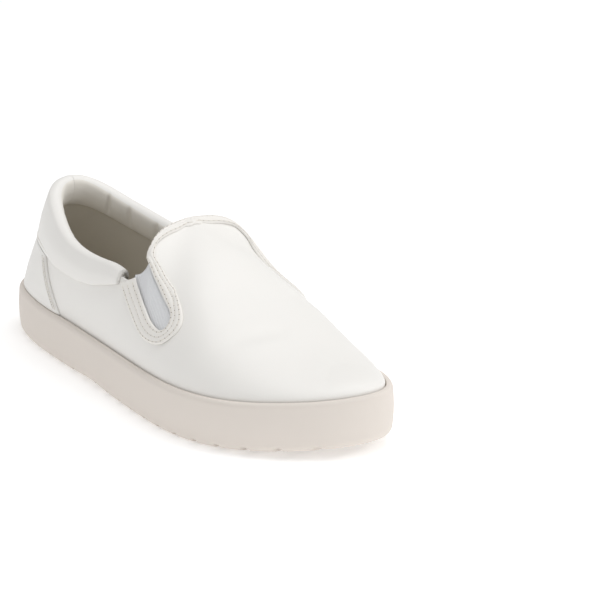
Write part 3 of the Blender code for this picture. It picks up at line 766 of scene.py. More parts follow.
def add_node(tree: bpy.types.NodeTree, kind: str, **values: float) -> bpy.types.Node:
    """Add a node and set its inputs.

    Args:
        tree: Node tree it goes into.
        kind: Node type.
        values: Input values by name.

    Returns:
        The new node.
    """
    node = tree.nodes.new(kind)
    for name, value in values.items():
        node.inputs[name].default_value = value
    return node


def elastic_material() -> bpy.types.Material:
    """Finely ribbed elastic, a little bluer than the leather.

    Returns:
        The finished node material.
    """
    made = ELASTIC_FINISH.build()
    tree = made.node_tree
    place = tree.nodes["Texture Coordinate"]
    turn = add_node(tree, "ShaderNodeMapping")
    turn.inputs["Rotation"].default_value = (0.0, math.radians(55.0), 0.0)
    ribs = add_node(tree, "ShaderNodeTexWave", Scale=260.0)
    bump = add_node(tree, "ShaderNodeBump", Strength=0.5, Distance=0.0003)
    tree.links.new(place.outputs["Object"], turn.inputs["Vector"])
    tree.links.new(turn.outputs["Vector"], ribs.inputs["Vector"])
    tree.links.new(ribs.outputs["Fac"], bump.inputs["Height"])
    tree.links.new(bump.outputs["Normal"], tree.nodes["Principled BSDF"].inputs["Normal"])
    return made


def weld(points: np.ndarray, quads: np.ndarray) -> tuple:
    """Join coinciding points.

    Args:
        points: Points in millimetres.
        quads: Quads as rows of indices.

    Returns:
        Kept points, and quads with the new indices that still have an area.
    """
    keys = np.round(points / 1e-3).astype(np.int64)
    first, back = np.unique(keys, axis=0, return_index=True, return_inverse=True)[1:]
    moved = np.asarray(back).reshape(-1)[quads]
    distinct = np.array([len(set(row)) for row in moved.tolist()])
    return points[first], moved[distinct >= 3]


def normals_of(points: np.ndarray, quads: np.ndarray) -> np.ndarray:
    """Area-weighted unit normals of a sheet of quads.

    Args:
        points: Points in millimetres.
        quads: Quads as rows of indices.

    Returns:
        One unit normal a point.
    """
    a = points[quads[:, 2]] - points[quads[:, 0]]
    b = points[quads[:, 3]] - points[quads[:, 1]]
    face = np.cross(a, b)
    total = np.zeros_like(points)
    for k in range(4):
        np.add.at(total, quads[:, k], face)
    return total / (np.linalg.norm(total, axis=1)[:, None] + 1e-12)


def grid_quads(rows: int, columns: int, closed: bool = False) -> np.ndarray:
    """Quads of a grid of points.

    Args:
        rows: Rows of the grid.
        columns: Points in a row.
        closed: Whether each row joins its own start.

    Returns:
        Quads as rows of indices.
    """
    steps = columns if closed else columns - 1
    i, j = np.meshgrid(np.arange(rows - 1), np.arange(steps), indexing="ij")
    k = (j + 1) % columns
    here = i * columns
    above = here + columns
    return np.stack([here + j, here + k, above + k, above + j], -1).reshape(-1, 4)


def capped_quads(loops: int, total: int) -> np.ndarray:
    """Quads of loops round the sole, closed across the first and the last one.

    Args:
        loops: Number of loops.
        total: Points in a loop.

    Returns:
        Quads as rows of indices.
    """
    index = np.arange(total // 2)
    back = total - index
    across = np.stack([index, index + 1, (back - 1) % total, back % total], 1)
    wall = grid_quads(loops, total, closed=True)
    return np.vstack([wall, across[:, ::-1], across + (loops - 1) * total])


def facing_out(quads: np.ndarray, top: np.ndarray, foot: np.ndarray) -> np.ndarray:
    """Quads turned where needed, so that the top sheet looks away from the foot sheet.

    Args:
        quads: Quads of both sheets.
        top: Points of the outer sheet.
        foot: Points of the inner sheet.

    Returns:
        Quads in the right order.
    """
    inwards = (normals_of(top, quads) * (top - foot)).sum() < 0
    return quads[:, ::-1] if inwards else quads


def shell_quads(quads: np.ndarray, count: int) -> np.ndarray:
    """Quads of a closed shell between two sheets with the same quads.

    Args:
        quads: Quads of the outer sheet.
        count: Points in one sheet.

    Returns:
        Outer, inner and edge quads.
    """
    starts = quads.reshape(-1)
    ends = np.roll(quads, -1, axis=1).reshape(-1)
    real = starts != ends
    starts = starts[real]
    ends = ends[real]
    open_edge = ~np.isin(starts * (2 * count) + ends, ends * (2 * count) + starts)
    a = starts[open_edge]
    b = ends[open_edge]
    walls = np.stack([b, a, a + count, b + count], 1)
    return np.vstack([quads, quads[:, ::-1] + count, walls])


def place_mesh(name: str, points: np.ndarray, quads: np.ndarray, looks: list,
               which: np.ndarray = None) -> bpy.types.Object:
    """Make a smooth mesh object.

    Args:
        name: Name of the object.
        points: Points in millimetres from the heel.
        quads: Quads as rows of indices.
        looks: Materials.
        which: Material number of each quad.

    Returns:
        The object.
    """
    mesh = bpy.data.meshes.new(name)
    faces = [list(dict.fromkeys(row)) for row in quads.tolist()]
    mesh.from_pydata(to_row(points).tolist(), [], faces)
    for look in looks:
        mesh.materials.append(look)
    if which is not None:
        mesh.polygons.foreach_set("material_index", np.asarray(which, np.int32))
    mesh.shade_smooth()
    made = bpy.data.objects.new(name, mesh)
    bpy.context.scene.collection.objects.link(made)
    LOG.info("%s: %d faces", name, len(faces))
    return made


def show_as(made: bpy.types.Object, slot: str, *nodes: str) -> bpy.types.Object:
    """Tie a piece to the frame.

    Args:
        made: The piece.
        slot: Its material slot; not used.
        nodes: The solids it stands for.

    Returns:
        The piece.
    """
    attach(made, "root")
    if nodes:
        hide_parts(*nodes)
    return made


@dataclass(frozen=True)
class Crease:
    """Soft trough across the vamp, in millimetres of plan.

    Attributes:
        start: Plan place of one end.
        end: Plan place of the other end.
        width: Half width of the trough.
        depth: Depth, or height where negative.
        bow: How far its middle lies forward.
    """

    start: tuple
    end: tuple
    width: float
    depth: float
    bow: float = 0.0

    def at(self, points: np.ndarray) -> np.ndarray:
        """Depth of the crease at points.

        Args:
            points: Points in millimetres.

        Returns:
            Depth at each point.
        """
        a = np.array(self.start)
        b = np.array(self.end)
        span = b - a
        share = ((points[:, :2] - a) @ span) / (span @ span)
        held = np.clip(share, 0.0, 1.0)
        middle = a + held[:, None] * span
        middle[:, 0] += self.bow * 4.0 * held * (1.0 - held)
        away = np.linalg.norm(points[:, :2] - middle, axis=1)
        ends = np.sin(math.pi * np.clip(held, 0.04, 0.96))
        return self.depth * np.exp(-((away / self.width) ** 2)) * ends


# walking creases over the ball, then the flat hollows beside the gores and the quarters
VAMP_CREASES = (
    Crease((214.0, -40.0), (226.0, 6.0), 4.5, 0.45, 5.0),
    Crease((222.0, -38.0), (234.0, 10.0), 4.0, -0.25, 5.0),
    Crease((184.0, -30.0), (196.0, 8.0), 5.5, 0.40, 4.0),
    Crease((206.0, 12.0), (198.0, 44.0), 5.0, 0.40, 3.0),
    Crease((158.0, -46.0), (206.0, -50.0), 6.0, 0.30, 0.0),
    Crease((96.0, -40.0), (150.0, -44.0), 9.0, 0.35, 0.0),
    Crease((96.0, 38.0), (150.0, 40.0), 9.0, 0.35, 0.0),
)


def lifted(height: float) -> Callable:
    """Height that follows the toe spring.

    Args:
        height: Height at the heel.

    Returns:
        Function that gives the height at x.
    """
    return lambda x: height + toe_lift(x)


@dataclass
class Cupsole:
    """Rubber cup: a rounded wall, a rim round the upper and bars under the tread.

    Attributes:
        samples: Places along the outline.
        foot_round: Inset and height of the loops that round the foot edge.
        wall_heights: Heights of the wall's loops.
        bulge_from: Height at which the wall's bulge starts.
        bulge_span: Height over which it swells and falls back.
        rim_round: Height of the rim's rounding.
        rim_depth: Its depth as a share of that height.
        groove_ease: How far a groove's side slopes.
    """

    samples: int = 520
    foot_round: tuple = ((3.2, 0.12), (1.9, 0.6), (1.0, 1.4), (0.4, 2.4), (0.12, 3.6), (0.0, 5.0))
    wall_heights: tuple = (8.0, 11.0, 14.0, 17.0, 20.0)
    bulge_from: float = 5.0
    bulge_span: float = 17.0
    rim_round: float = 3.0
    rim_depth: float = 0.8
    groove_ease: float = 0.5

    def build(self) -> None:
        """Make the cup: loops round the outline, from the tread up the wall and into the cup."""
        turns = self.turns()
        inner = FEATHER_INSET - WALL_GAP
        loops = [loop_points(turns, FOOT_EDGE, self.tread(0.0))]
        for inset, height in self.foot_round:
            loops.append(loop_points(turns, inset, self.tread(height)))
        for height in self.wall_heights:
            bulge = WALL_BULGE * math.sin(math.pi * (height - self.bulge_from) / self.bulge_span)
            loops.append(loop_points(turns, -bulge, lifted(height)))
        for angle in np.radians(np.linspace(0.0, 90.0, 9)):
            inset = self.rim_round * self.rim_depth * (1.0 - math.cos(angle))
            height = WALL_TOP - self.rim_round + self.rim_round * math.sin(angle)
            loops.append(loop_points(turns, inset, lifted(height)))
        loops.append(loop_points(turns, inner - 0.45, lifted(WALL_TOP - 0.1)))
        loops.append(loop_points(turns, inner - 0.05, lifted(WALL_TOP - 0.9)))
        loops.append(loop_points(turns, inner, lifted(CUP_FLOOR)))
        faces = capped_quads(len(loops), len(loops[0]))
        piece = place_mesh("sole", np.vstack(loops), faces, [RUBBER_FINISH.build()])
        piece.data.set_sharp_from_angle(angle=math.radians(50.0))
        show_as(piece, "sole_rubber", "cupsole")

    def turns(self) -> np.ndarray:
        """Turns whose places along the sole are even, closer at both ends.

        Returns:
            Turns from heel to toe.
        """
        x = np.linspace(0.0, 1.0, self.samples)
        even = np.arccos(1.0 - 2.0 * x) / math.pi
        ends = np.linspace(0.0, 1.0, 120)
        return np.unique(np.round(np.concatenate([even, ends]), 6))

    def groove(self, x: np.ndarray) -> np.ndarray:
        """Share of the groove's depth: full in a groove, none on a bar.

        Args:
            x: Places along the sole.

        Returns:
            Share at each place.
        """
        count = int(SOLE_LENGTH / GROOVE_PITCH)
        start = (SOLE_LENGTH - (count - 1) * GROOVE_PITCH) / 2.0
        nearest = start + np.clip(np.round((x - start) / GROOVE_PITCH), 0, count - 1) * GROOVE_PITCH
        away = np.abs(x - nearest)
        return np.clip((GROOVE_WIDTH / 2 + 0.3 - away) / self.groove_ease, 0.0, 1.0)

    def tread(self, height: float) -> Callable:
        """Height of a loop near the ground: the groove's floor, or its own height if higher.

        Args:
            height: Height over the ground without grooves.

        Returns:
            Function that gives the height at x.
        """
        def at(x: np.ndarray) -> np.ndarray:
            """Height of the loop at x."""
            floor = toe_lift(x) + arch_lift(x) + GROOVE_DEPTH * self.groove(x)
            smooth = toe_lift(x) + arch_lift(x) * (1.0 - height / WALL_TOP) + height
            return np.maximum(floor, smooth)
        return at


@dataclass
class Footbed:
    """Insole on the cup's floor.

    Attributes:
        samples: Places along the outline.
        profile: How far in from its edge, and how high over its flat part, each loop lies.
    """

    samples: int = 160
    profile: tuple = ((0.0, 0.2), (0.5, 1.0), (1.2, 1.2), (3.0, 0.8), (6.0, 0.0), (14.0, -0.2))

    def build(self) -> None:
        """Make the insole: its edge, a low raised border and a flat top."""
        turns = np.linspace(0.0, 1.0, self.samples)
        inset = FEATHER_INSET + UPPER_WALL + LAYER_GAP + 0.3
        base = CUP_FLOOR + LAYER_GAP
        loops = [loop_points(turns, inset, lifted(base))]
        for more, up in self.profile:
            loops.append(loop_points(turns, inset + more, lifted(base + (FOOTBED_THICK + up))))
        faces = capped_quads(len(loops), len(loops[0]))
        piece = place_mesh("insole", np.vstack(loops), faces, [LINING_FINISH.build()])
        show_as(piece, "lining", "footbed")


@dataclass
class Upper:
    """Leather shell with its lining, open at the gores, collar and throat.

    Attributes:
        columns: Columns from heel to toe.
        rows: Points up a column.
        fine: First turn, last turn and number of the added columns round the gore.
        foot_rise: Rise of the edge that is tucked into the cup.
        ease_turn: Turn at which the fold under the throat is eased most.
        ease_width: How wide that is, as a turn.
        ease_rounds: Rounds of easing.
    """

    columns: int = 260
    rows: int = 96
    fine: tuple = (0.46, 0.70, 90)
    foot_rise: float = -0.98
    ease_turn: float = 0.632
    ease_width: float = 0.045
    ease_rounds: int = 220

    def build(self) -> None:
        """Make the shell: the outer sheet, its gore openings, the creases and the lining."""
        turns = np.linspace(0.0, 1.0, self.columns)
        turns = np.unique(np.concatenate([turns, np.linspace(*self.fine)]))
        rises = np.linspace(0.0, 1.0, self.rows)
        sheets = []
        quads = []
        first = 0
        for side in Side:
            top = top_share(turns, side)
            grid_turn = np.repeat(turns[:, None], self.rows + 1, 1)
            foot = np.full(len(turns), self.foot_rise)
            grid_rise = np.column_stack([foot, rises[None, :] * top[:, None]])
            points = surface(grid_turn.reshape(-1), grid_rise.reshape(-1), side)
            grid = points.reshape(len(turns), -1, 3)
            points = self.eased(grid, turns, grid_rise).reshape(-1, 3)
            faces = grid_quads(len(turns), self.rows + 1)
            middle_turn = grid_turn.reshape(-1)[faces].mean(1)
            middle_rise = grid_rise.reshape(-1)[faces].mean(1)
            faces = faces[~self.in_gore(middle_turn, middle_rise, side)]
            quads.append((faces if side > 0 else faces[:, ::-1]) + first)
            first += len(points)
            sheets.append(points)
        points, faces = weld(np.vstack(sheets), np.vstack(quads))
        normals = normals_of(points, faces)
        if normals[np.argmax(points[:, 0]), 0] < 0:
            faces = faces[:, ::-1]
            normals = -normals
        at_foot = points[:, 2] < WALL_TOP - 2.0
        normals[at_foot, 2] = 0.0
        normals /= np.linalg.norm(normals, axis=1)[:, None]
        sunk = sum(crease.at(points) for crease in VAMP_CREASES)
        sunk *= np.clip((points[:, 2] - WALL_TOP - 3.0) / 8.0, 0.0, 1.0)
        outer = points - normals * sunk[:, None]
        inner = points - normals * UPPER_WALL
        solid = shell_quads(faces, len(points))
        which = np.zeros(len(solid), int)
        which[len(faces):2 * len(faces)] = 1
        looks = [LEATHER_FINISH.build(), LINING_FINISH.build()]
        piece = place_mesh("leather_upper", np.vstack([outer, inner]), solid, looks, which)
        show_as(piece, "white_leather", "upper")

    def eased(self, grid: np.ndarray, turns: np.ndarray, rises: np.ndarray) -> np.ndarray:
        """The shell with the fold under the throat's middle eased out.

        Each round moves a point towards the mean of its neighbours in the next columns, by a
        share that falls off as a bell round the fold and to nothing at the shell's edges.

        Args:
            grid: Points, one row a column of the shell.
            turns: Turn of each column.
            rises: Rise of each point.

        Returns:
            The eased grid.
        """
        window = np.exp(-(((turns - self.ease_turn) / self.ease_width) ** 2))[:, None]
        window = window * np.clip((0.97 - rises) / 0.12, 0.0, 1.0) * np.clip(rises / 0.1, 0.0, 1.0)
        out = grid.copy()
        for _ in range(self.ease_rounds):
            mean = out.copy()
            mean[1:-1] = (out[:-2] + 2.0 * out[1:-1] + out[2:]) / 4.0
            out = out + (mean - out) * window[:, :, None]
        return out

    def in_gore(self, turns: np.ndarray, rises: np.ndarray, side: Side) -> np.ndarray:
        """Which places lie in the gore's opening, by counting the crossings of its edge.

        Args:
            turns: Turns of the places.
            rises: Rises of the places.
            side: Side of the shoe.

        Returns:
            True where the shell is open.
        """
        inner_turn, inner_rise, outer_turn, outer_rise = binding_edges(side)
        count = len(GORE_BINDING) + 2
        edge_turn = (inner_turn * 0.5 + outer_turn * 0.5)[:count]
        edge_rise = (inner_rise * 0.5 + outer_rise * 0.5)[:count]
        ring_turn = np.concatenate([edge_turn, [edge_turn[-1], edge_turn[0]]])
        ring_rise = np.concatenate([edge_rise, [1.2, 1.2]])
        inside = np.zeros(len(turns), bool)
        for k in range(len(ring_turn)):
            t0, r0 = ring_turn[k - 1], ring_rise[k - 1]
            t1, r1 = ring_turn[k], ring_rise[k]
            crosses = (r0 > rises) != (r1 > rises)
            reach = t0 + (rises - r0) / (r1 - r0 + 1e-12) * (t1 - t0)
            inside ^= crosses & (turns < reach)
        return inside


def strip_place(side: Side, along: np.ndarray, across: np.ndarray) -> tuple:
    """Turn and rise of places on the binding.

    Args:
        side: Side of the shoe.
        along: Row number, from the gore's rear top to the throat's middle.
        across: Share from the inner edge to the outer edge.

    Returns:
        Turns and rises.
    """
    edges = np.stack(binding_edges(side), 1)
    rows = natural_spline(np.arange(len(edges)), edges, along)
    turns = rows[:, 0] * (1 - across) + rows[:, 2] * across
    rises = rows[:, 1] * (1 - across) + rows[:, 3] * across
    return turns, np.minimum(rises, 1.0)


def strip_point(side: Side, along: np.ndarray, across: np.ndarray, lift: np.ndarray) -> tuple:
    """Points above the binding's line on the upper, and their normals.

    Args:
        side: Side of the shoe.
        along: Row numbers.
        across: Shares across the strip.
        lift: Height over the upper in millimetres.

    Returns:
        Points and unit normals.
    """
    turns, rises = strip_place(side, along, across)
    normal = normal_at(turns, np.minimum(rises, 0.995), side)
    return surface(turns, rises, side) + normal * np.asarray(lift).reshape(-1, 1), normal


BINDING_ROWS = len(GORE_BINDING) + len(THROAT_BINDING)


def seam_ridge(share: np.ndarray) -> np.ndarray:
    """Height that the binding's seams press up, a cosine across it.

    Args:
        share: Shares across the strip.

    Returns:
        Height at each share.
    """
    return BINDING_RIDGE * np.cos(2.0 * math.pi * BINDING_RIDGES * share)


@dataclass
class Binding:
    """Strip stitched round both gores and over the throat.

    Attributes:
        rows: Rows from one end to the throat's middle.
        columns: Points across the strip.
        edge_power: How squarely the strip's edges fall.
        foot_lift: Height of its underside over the upper.
    """

    rows: int = 260
    columns: int = 16
    edge_power: int = 7
    foot_lift: float = 0.05

    def build(self) -> None:
        """Make the strip: its rounded profile carried along the binding's line."""
        across = np.linspace(0.0, 1.0, self.columns)
        flat = 1.0 - np.abs(2.0 * across - 1.0) ** self.edge_power
        profile = LAYER_GAP + LEATHER * flat * BINDING_FULL + seam_ridge(across)
        tops = []
        feet = []
        for side in Side:
            along = np.linspace(0.0, BINDING_ROWS - 1.0, self.rows)
            if side > 0:
                along = along[::-1][1:]
            s = np.repeat(along, self.columns)
            a = np.tile(across, len(along))
            tops.append(strip_point(side, s, a, np.tile(profile, len(along)))[0])
            feet.append(strip_point(side, s, a, np.full(len(s), self.foot_lift))[0])
        top = np.vstack(tops)
        foot = np.vstack(feet)
        quads = facing_out(grid_quads(len(top) // self.columns, self.columns), top, foot)
        solid = shell_quads(quads, len(top))
        piece = place_mesh("throat_binding", np.vstack([top, foot]), solid, [BINDING_FINISH.build()])
        show_as(piece, "white_leather", "binding")


@dataclass
class Gore:
    """Elastic inset of one side.

    Attributes:
        side: Side of the shoe.
        rows: Rows from the top to the bottom of the opening.
        columns: Points across it.
        under: Share of the binding's width that its edge reaches under.
        lip_rise: Rise of its top edge.
    """

    side: Side
    rows: int = 60
    columns: int = 30
    under: float = 0.2
    lip_rise: float = 0.985

    def build(self) -> None:
        """Make the inset: straight rows from the rear edge to the front edge."""
        inner_turn, inner_rise, outer_turn, outer_rise = binding_edges(self.side)
        count = len(GORE_BINDING) + 2
        share = self.under
        edge = np.stack([inner_turn * (1 - share) + outer_turn * share,
                         inner_rise * (1 - share) + outer_rise * share], 1)[:count]
        half = (count - 1) / 2.0
        down = np.linspace(0.0, half - 0.02, self.rows)
        rear = natural_spline(np.arange(count), edge, down)
        front = natural_spline(np.arange(count), edge, count - 1 - down)
        a = np.linspace(0.0, 1.0, self.columns)[None, :, None]
        grid = rear[:, None, :] * (1 - a) + front[:, None, :] * a
        lip = grid[:1].copy()
        lip[..., 1] = self.lip_rise
        grid = np.concatenate([lip, lip * 0.5 + grid[:1] * 0.5, grid])
        turns = grid[..., 0].reshape(-1)
        rises = grid[..., 1].reshape(-1)
        normal = normal_at(turns, rises, self.side)
        points = surface(turns, rises, self.side)
        outer = points - normal * GORE_DROP
        inner = points - normal * (GORE_DROP + GORE_WALL)
        quads = facing_out(grid_quads(len(grid), self.columns), outer, inner)
        solid = shell_quads(quads, len(outer))
        name = self.side.name.lower()
        piece = place_mesh("elastic_" + name, np.vstack([outer, inner]), solid, [elastic_material()])
        show_as(piece, "elastic", "gore_" + name)


def counter_heights(turns: np.ndarray, side: Side, shares: np.ndarray) -> np.ndarray:
    """Heights on the counter, even from the sole's rim to the collar's seam.

    Args:
        turns: Turns of the places.
        side: Side of the shoe.
        shares: Shares of the height.

    Returns:
        Heights.
    """
    low = WALL_TOP + COUNTER_FOOT_GAP
    return low + (seam_height(turns, side) - COUNTER_TOP_GAP - low) * shares


def counter_place(side: Side, back: float, shares: np.ndarray) -> tuple:
    """Turn and rise at heights of the counter's front edge, by small steps towards its x.

    Args:
        side: Side of the shoe.
        back: How far behind the front edge, in millimetres.
        shares: Shares of the height, from the sole to the collar's seam.

    Returns:
        Turns and rises.
    """
    turns = np.full(len(shares), 0.25)
    x_for_a_turn = 420.0
    for _ in range(16):
        height = counter_heights(turns, side, shares)
        rises = rise_at_height(turns, side, height)
        x_here = surface(turns, rises, side)[:, 0]
        x_want = np.interp(height, COUNTER_FRONT[:, 0], COUNTER_FRONT[:, 1]) - back
        turns = turns + (x_want - x_here) / x_for_a_turn
    return turns, rises


@dataclass
class HeelCounter:
    """Leather panel round the back of the heel.

    Attributes:
        columns: Columns from the heel's middle to the front edge.
        rows: Points up a column.
        edge_power: How near the front edge its fall starts.
        edge_fall: Share of the leather that the edge loses.
        foot_lift: Height of its underside over the upper.
    """

    columns: int = 70
    rows: int = 40
    edge_power: int = 40
    edge_fall: float = 0.6
    foot_lift: float = 0.05

    def build(self) -> None:
        """Make the panel: columns fanned evenly from the heel's middle to the front edge."""
        shares = np.linspace(0.0, 1.0, self.rows)
        fan = np.linspace(0.0, 1.0, self.columns)
        sheets = []
        for side in Side:
            ends = counter_place(side, 0.0, shares)[0]
            turns = (ends[None, :] * fan[:, None]).reshape(-1)
            height = counter_heights(turns, side, np.tile(shares, self.columns))
            rises = rise_at_height(turns, side, height)
            edge = np.repeat(fan, self.rows)
            lift = LAYER_GAP + LEATHER * (1.0 - edge**self.edge_power * self.edge_fall)
            normal = normal_at(turns, rises, side)
            base = surface(turns, rises, side)
            order = np.arange(self.columns)[::-1] if side < 0 else np.arange(1, self.columns)
            pair = np.stack([base + normal * lift[:, None], base + normal * self.foot_lift], 1)
            sheets.append(pair.reshape(self.columns, self.rows, 2, 3)[order])
        grid = np.concatenate(sheets)
        top = grid[:, :, 0].reshape(-1, 3)
        foot = grid[:, :, 1].reshape(-1, 3)
        quads = facing_out(grid_quads(len(grid), self.rows), top, foot)
        solid = shell_quads(quads, len(top))
        piece = place_mesh("heel_panel", np.vstack([top, foot]), solid, [LEATHER_FINISH.build()])
        show_as(piece, "white_leather", "heel_counter")


@dataclass
class Collar:
    """Padded collar, leather outside and lining inside.

    Attributes:
        columns: Columns along one side.
        around: Points round a section.
        heel: Last turn and number of the closer columns at the heel.
        lined: Shares of the way round a section between which it is lining.
    """

    columns: int = 170
    around: int = 72
    heel: tuple = (0.12, 40)
    lined: tuple = (0.44, 0.68)

    def build(self) -> None:
        """Make the collar: its closed sections joined in a row, with a fan over each end."""
        last_close, close = self.heel
        spread = np.linspace(last_close, COLLAR_END_TURN, self.columns)
        turns = np.concatenate([np.linspace(0.0, last_close, close), spread[1:]])
        sections = []
        for side in Side:
            ring = collar_ring(turns, side)
            smooth = self.rounded(ring)
            sections.append(smooth[::-1] if side < 0 else smooth[1:])
        grid = np.concatenate(sections)
        points = grid.reshape(-1, 3)
        quads = grid_quads(len(grid), self.around, closed=True)
        tips = [grid[0].mean(0), grid[-1].mean(0)]
        count = len(points)
        index = np.arange(self.around)
        after = (index + 1) % self.around
        last = (len(grid) - 1) * self.around
        tip = np.full(self.around, count)
        caps = [np.stack([after, index, tip, tip], 1),
                np.stack([last + index, last + after, tip + 1, tip + 1], 1)]
        share = np.tile(index, len(grid) - 1) / self.around
        which = ((share > self.lined[0]) & (share < self.lined[1])).astype(int)
        which = np.concatenate([which, np.zeros(2 * self.around, int)])
        looks = [LEATHER_FINISH.build(), PADDED_FINISH.build()]
        faces = np.vstack([quads, *caps])
        piece = place_mesh("padded_collar", np.vstack([points, tips]), faces, looks, which)
        show_as(piece, "white_leather", "collar")

    def rounded(self, ring: np.ndarray) -> np.ndarray:
        """Rings with more points: cubics through their own, with slopes from both neighbours.

        Args:
            ring: Rings of points, one a column.

        Returns:
            Rings of this collar's number of points.
        """
        count = ring.shape[1]
        where = np.arange(self.around) / self.around * count
        k = np.floor(where).astype(int)
        t = (where - k)[None, :, None]
        p0 = ring[:, (k - 1) % count]
        p1 = ring[:, k % count]
        p2 = ring[:, (k + 1) % count]
        p3 = ring[:, (k + 2) % count]
        curve = 2 * p1 + (p2 - p0) * t + (2 * p0 - 5 * p1 + 4 * p2 - p3) * t**2
        return 0.5 * (curve + (3 * p1 - p0 - 3 * p2 + p3) * t**3)


# turns at which the padded lining is drawn in, and how wide one fold is
LINING_FOLDS = {Side.LATERAL: (0.2, 0.3, 0.39), Side.MEDIAL: (0.17, 0.235, 0.315, 0.36, 0.42)}
FOLD_WIDTH = 0.006


def pucker(turns: np.ndarray, side: Side) -> np.ndarray:
    """Folds of the padded lining, as a share of its thickness: a narrow bell for each.

    Args:
        turns: Turns of the columns.
        side: Side of the shoe.

    Returns:
        How much the padding thins at each column.
    """
    return sum(np.exp(-(((turns - fold) / FOLD_WIDTH) ** 2)) for fold in LINING_FOLDS[side])


def collar_ring(turns: np.ndarray, side: Side) -> np.ndarray:
    """Cross sections of the collar, each a list of rises and offsets from the upper's face.

    The padding thins towards the front end and in each fold.

    Args:
        turns: Turns of the columns.
        side: Side of the shoe.

    Returns:
        One ring of points a column.
    """
    length = column_length(turns, side)
    low = rise_at_height(turns, side, seam_height(turns, side))
    shell_top = top_share(turns, side)
    room = COLLAR_GAP / length
    near_end = np.clip((turns / COLLAR_END_TURN - 0.62) / 0.38, 0.0, 1.0)
    pad = 1.0 - 0.45 * near_end**1.5
    fold = 1.0 - 0.55 * pucker(turns, side)
    depth = LINING_DEPTH * pad
    outer = np.full(len(turns), LAYER_GAP + 0.1)
    inner = np.full(len(turns), -UPPER_WALL - COLLAR_GAP)

    def share(k: float) -> np.ndarray:
        """Rise at this share of the way from the seam to the shell's edge."""
        return low + (shell_top - low) * k

    def below(deep: float) -> np.ndarray:
        """Rise this many millimetres under the column's top."""
        return 1.0 - deep / length

    ring = [
        (low, outer),
        (low, outer + LEATHER),
        (share(0.1), outer + LEATHER + 0.45 * pad),
        (share(0.25), outer + LEATHER + 1.0 * pad),
        (share(0.55), outer + LEATHER + 1.7 * pad),
        (share(0.85), outer + LEATHER + 1.5 * pad),
        (below(2.6), outer + 1.4 + 0.6 * pad),
        (below(0.8), 0.9 * pad),
        (below(0.0), -1.3 - 0.2 * pad),
        (below(0.7), -2.6 - 1.2 * pad),
        (below(2.6), -3.2 - 2.4 * pad * (0.5 + 0.5 * fold)),
        (below(0.42 * depth), -3.2 - 3.2 * pad * fold),
        (below(0.75 * depth), -3.2 - 2.4 * pad * fold),
        (below(0.97 * depth), -3.2 - 0.6 * pad),
        (below(depth), inner),
        (below(0.62 * depth), inner),
        (shell_top + room, inner),
        (shell_top + room, outer),
        (share(0.75), outer),
        (share(0.5), outer),
        (share(0.25), outer),
    ]
    lines = []
    for rise, offset in ring:
        normal = normal_at(turns, np.minimum(rise, 0.999), side)
        lines.append(surface(turns, rise, side) + normal * offset[:, None])
    return np.stack(lines, 1)


@dataclass(frozen=True)
class Thread:
    """Row of stitches with the needle holes between them.

    Attributes:
        pitch: From one stitch to the next, in millimetres.
        length: Length of a stitch.
        radius: Half thickness of the thread.
        hole: Radius of a needle hole.
    """

    pitch: float = 3.1
    length: float = 2.2
    radius: float = 0.26
    hole: float = 0.30

    def places(self, path: np.ndarray, normal: np.ndarray, shift: float) -> tuple:
        """Frames a pitch apart along a path: where it is, where it heads and what faces out.

        Args:
            path: Points of the path.
            normal: Normals along it.
            shift: Start, as a share of the pitch.

        Returns:
            Centres, directions and normals.
        """
        gaps = np.linalg.norm(np.diff(path, axis=0), axis=1)
        along = np.concatenate([[0.0], np.cumsum(gaps)])
        where = np.arange(self.pitch * (0.5 + shift), along[-1] - self.pitch * 0.4, self.pitch)
        centre = np.stack([np.interp(where, along, path[:, k]) for k in range(3)], 1)
        ahead = np.stack([np.interp(where + 0.4, along, path[:, k]) for k in range(3)], 1)
        up = np.stack([np.interp(where, along, normal[:, k]) for k in range(3)], 1)
        way = ahead - centre
        way /= np.linalg.norm(way, axis=1)[:, None] + 1e-9
        up -= (up * way).sum(1)[:, None] * way
        return centre, way, up / np.linalg.norm(up, axis=1)[:, None]


def bead_grid(length: float, radius: float, height: float) -> np.ndarray:
    """A small rounded bead about the origin, long in x, its width falling to both ends.

    Args:
        length: Length of the bead.
        radius: Half width.
        height: Half height.

    Returns:
        Rings of points.
    """
    share = np.linspace(-1.0, 1.0, 7)[:, None]
    spin = np.linspace(0.0, 2.0 * math.pi, 8, endpoint=False)[None, :]
    fat = np.sqrt(np.clip(1.0 - np.abs(share) ** 3, 0.0, 1.0))
    width = radius * fat * np.cos(spin)
    x = np.broadcast_to(share * length / 2.0, width.shape)
    return np.stack([x, width, height * fat * np.sin(spin)], -1)


def beads(frames: list, grid: np.ndarray) -> tuple:
    """Copies of a bead at many places.

    Args:
        frames: Centres, directions and normals.
        grid: Rings of one bead.

    Returns:
        Points and quads.
    """
    centre = np.vstack([f[0] for f in frames])
    way = np.vstack([f[1] for f in frames])
    up = np.vstack([f[2] for f in frames])
    cross = np.cross(up, way)
    local = grid.reshape(-1, 3)
    points = centre[:, None] + local[None, :, :1] * way[:, None]
    points = points + local[None, :, 1:2] * cross[:, None]
    points = points + local[None, :, 2:] * up[:, None]
    one = grid_quads(grid.shape[0], grid.shape[1], closed=True)[:, ::-1]
    shift = np.arange(len(centre))[:, None, None] * len(local)
    return points.reshape(-1, 3), (one[None] + shift).reshape(-1, 4)


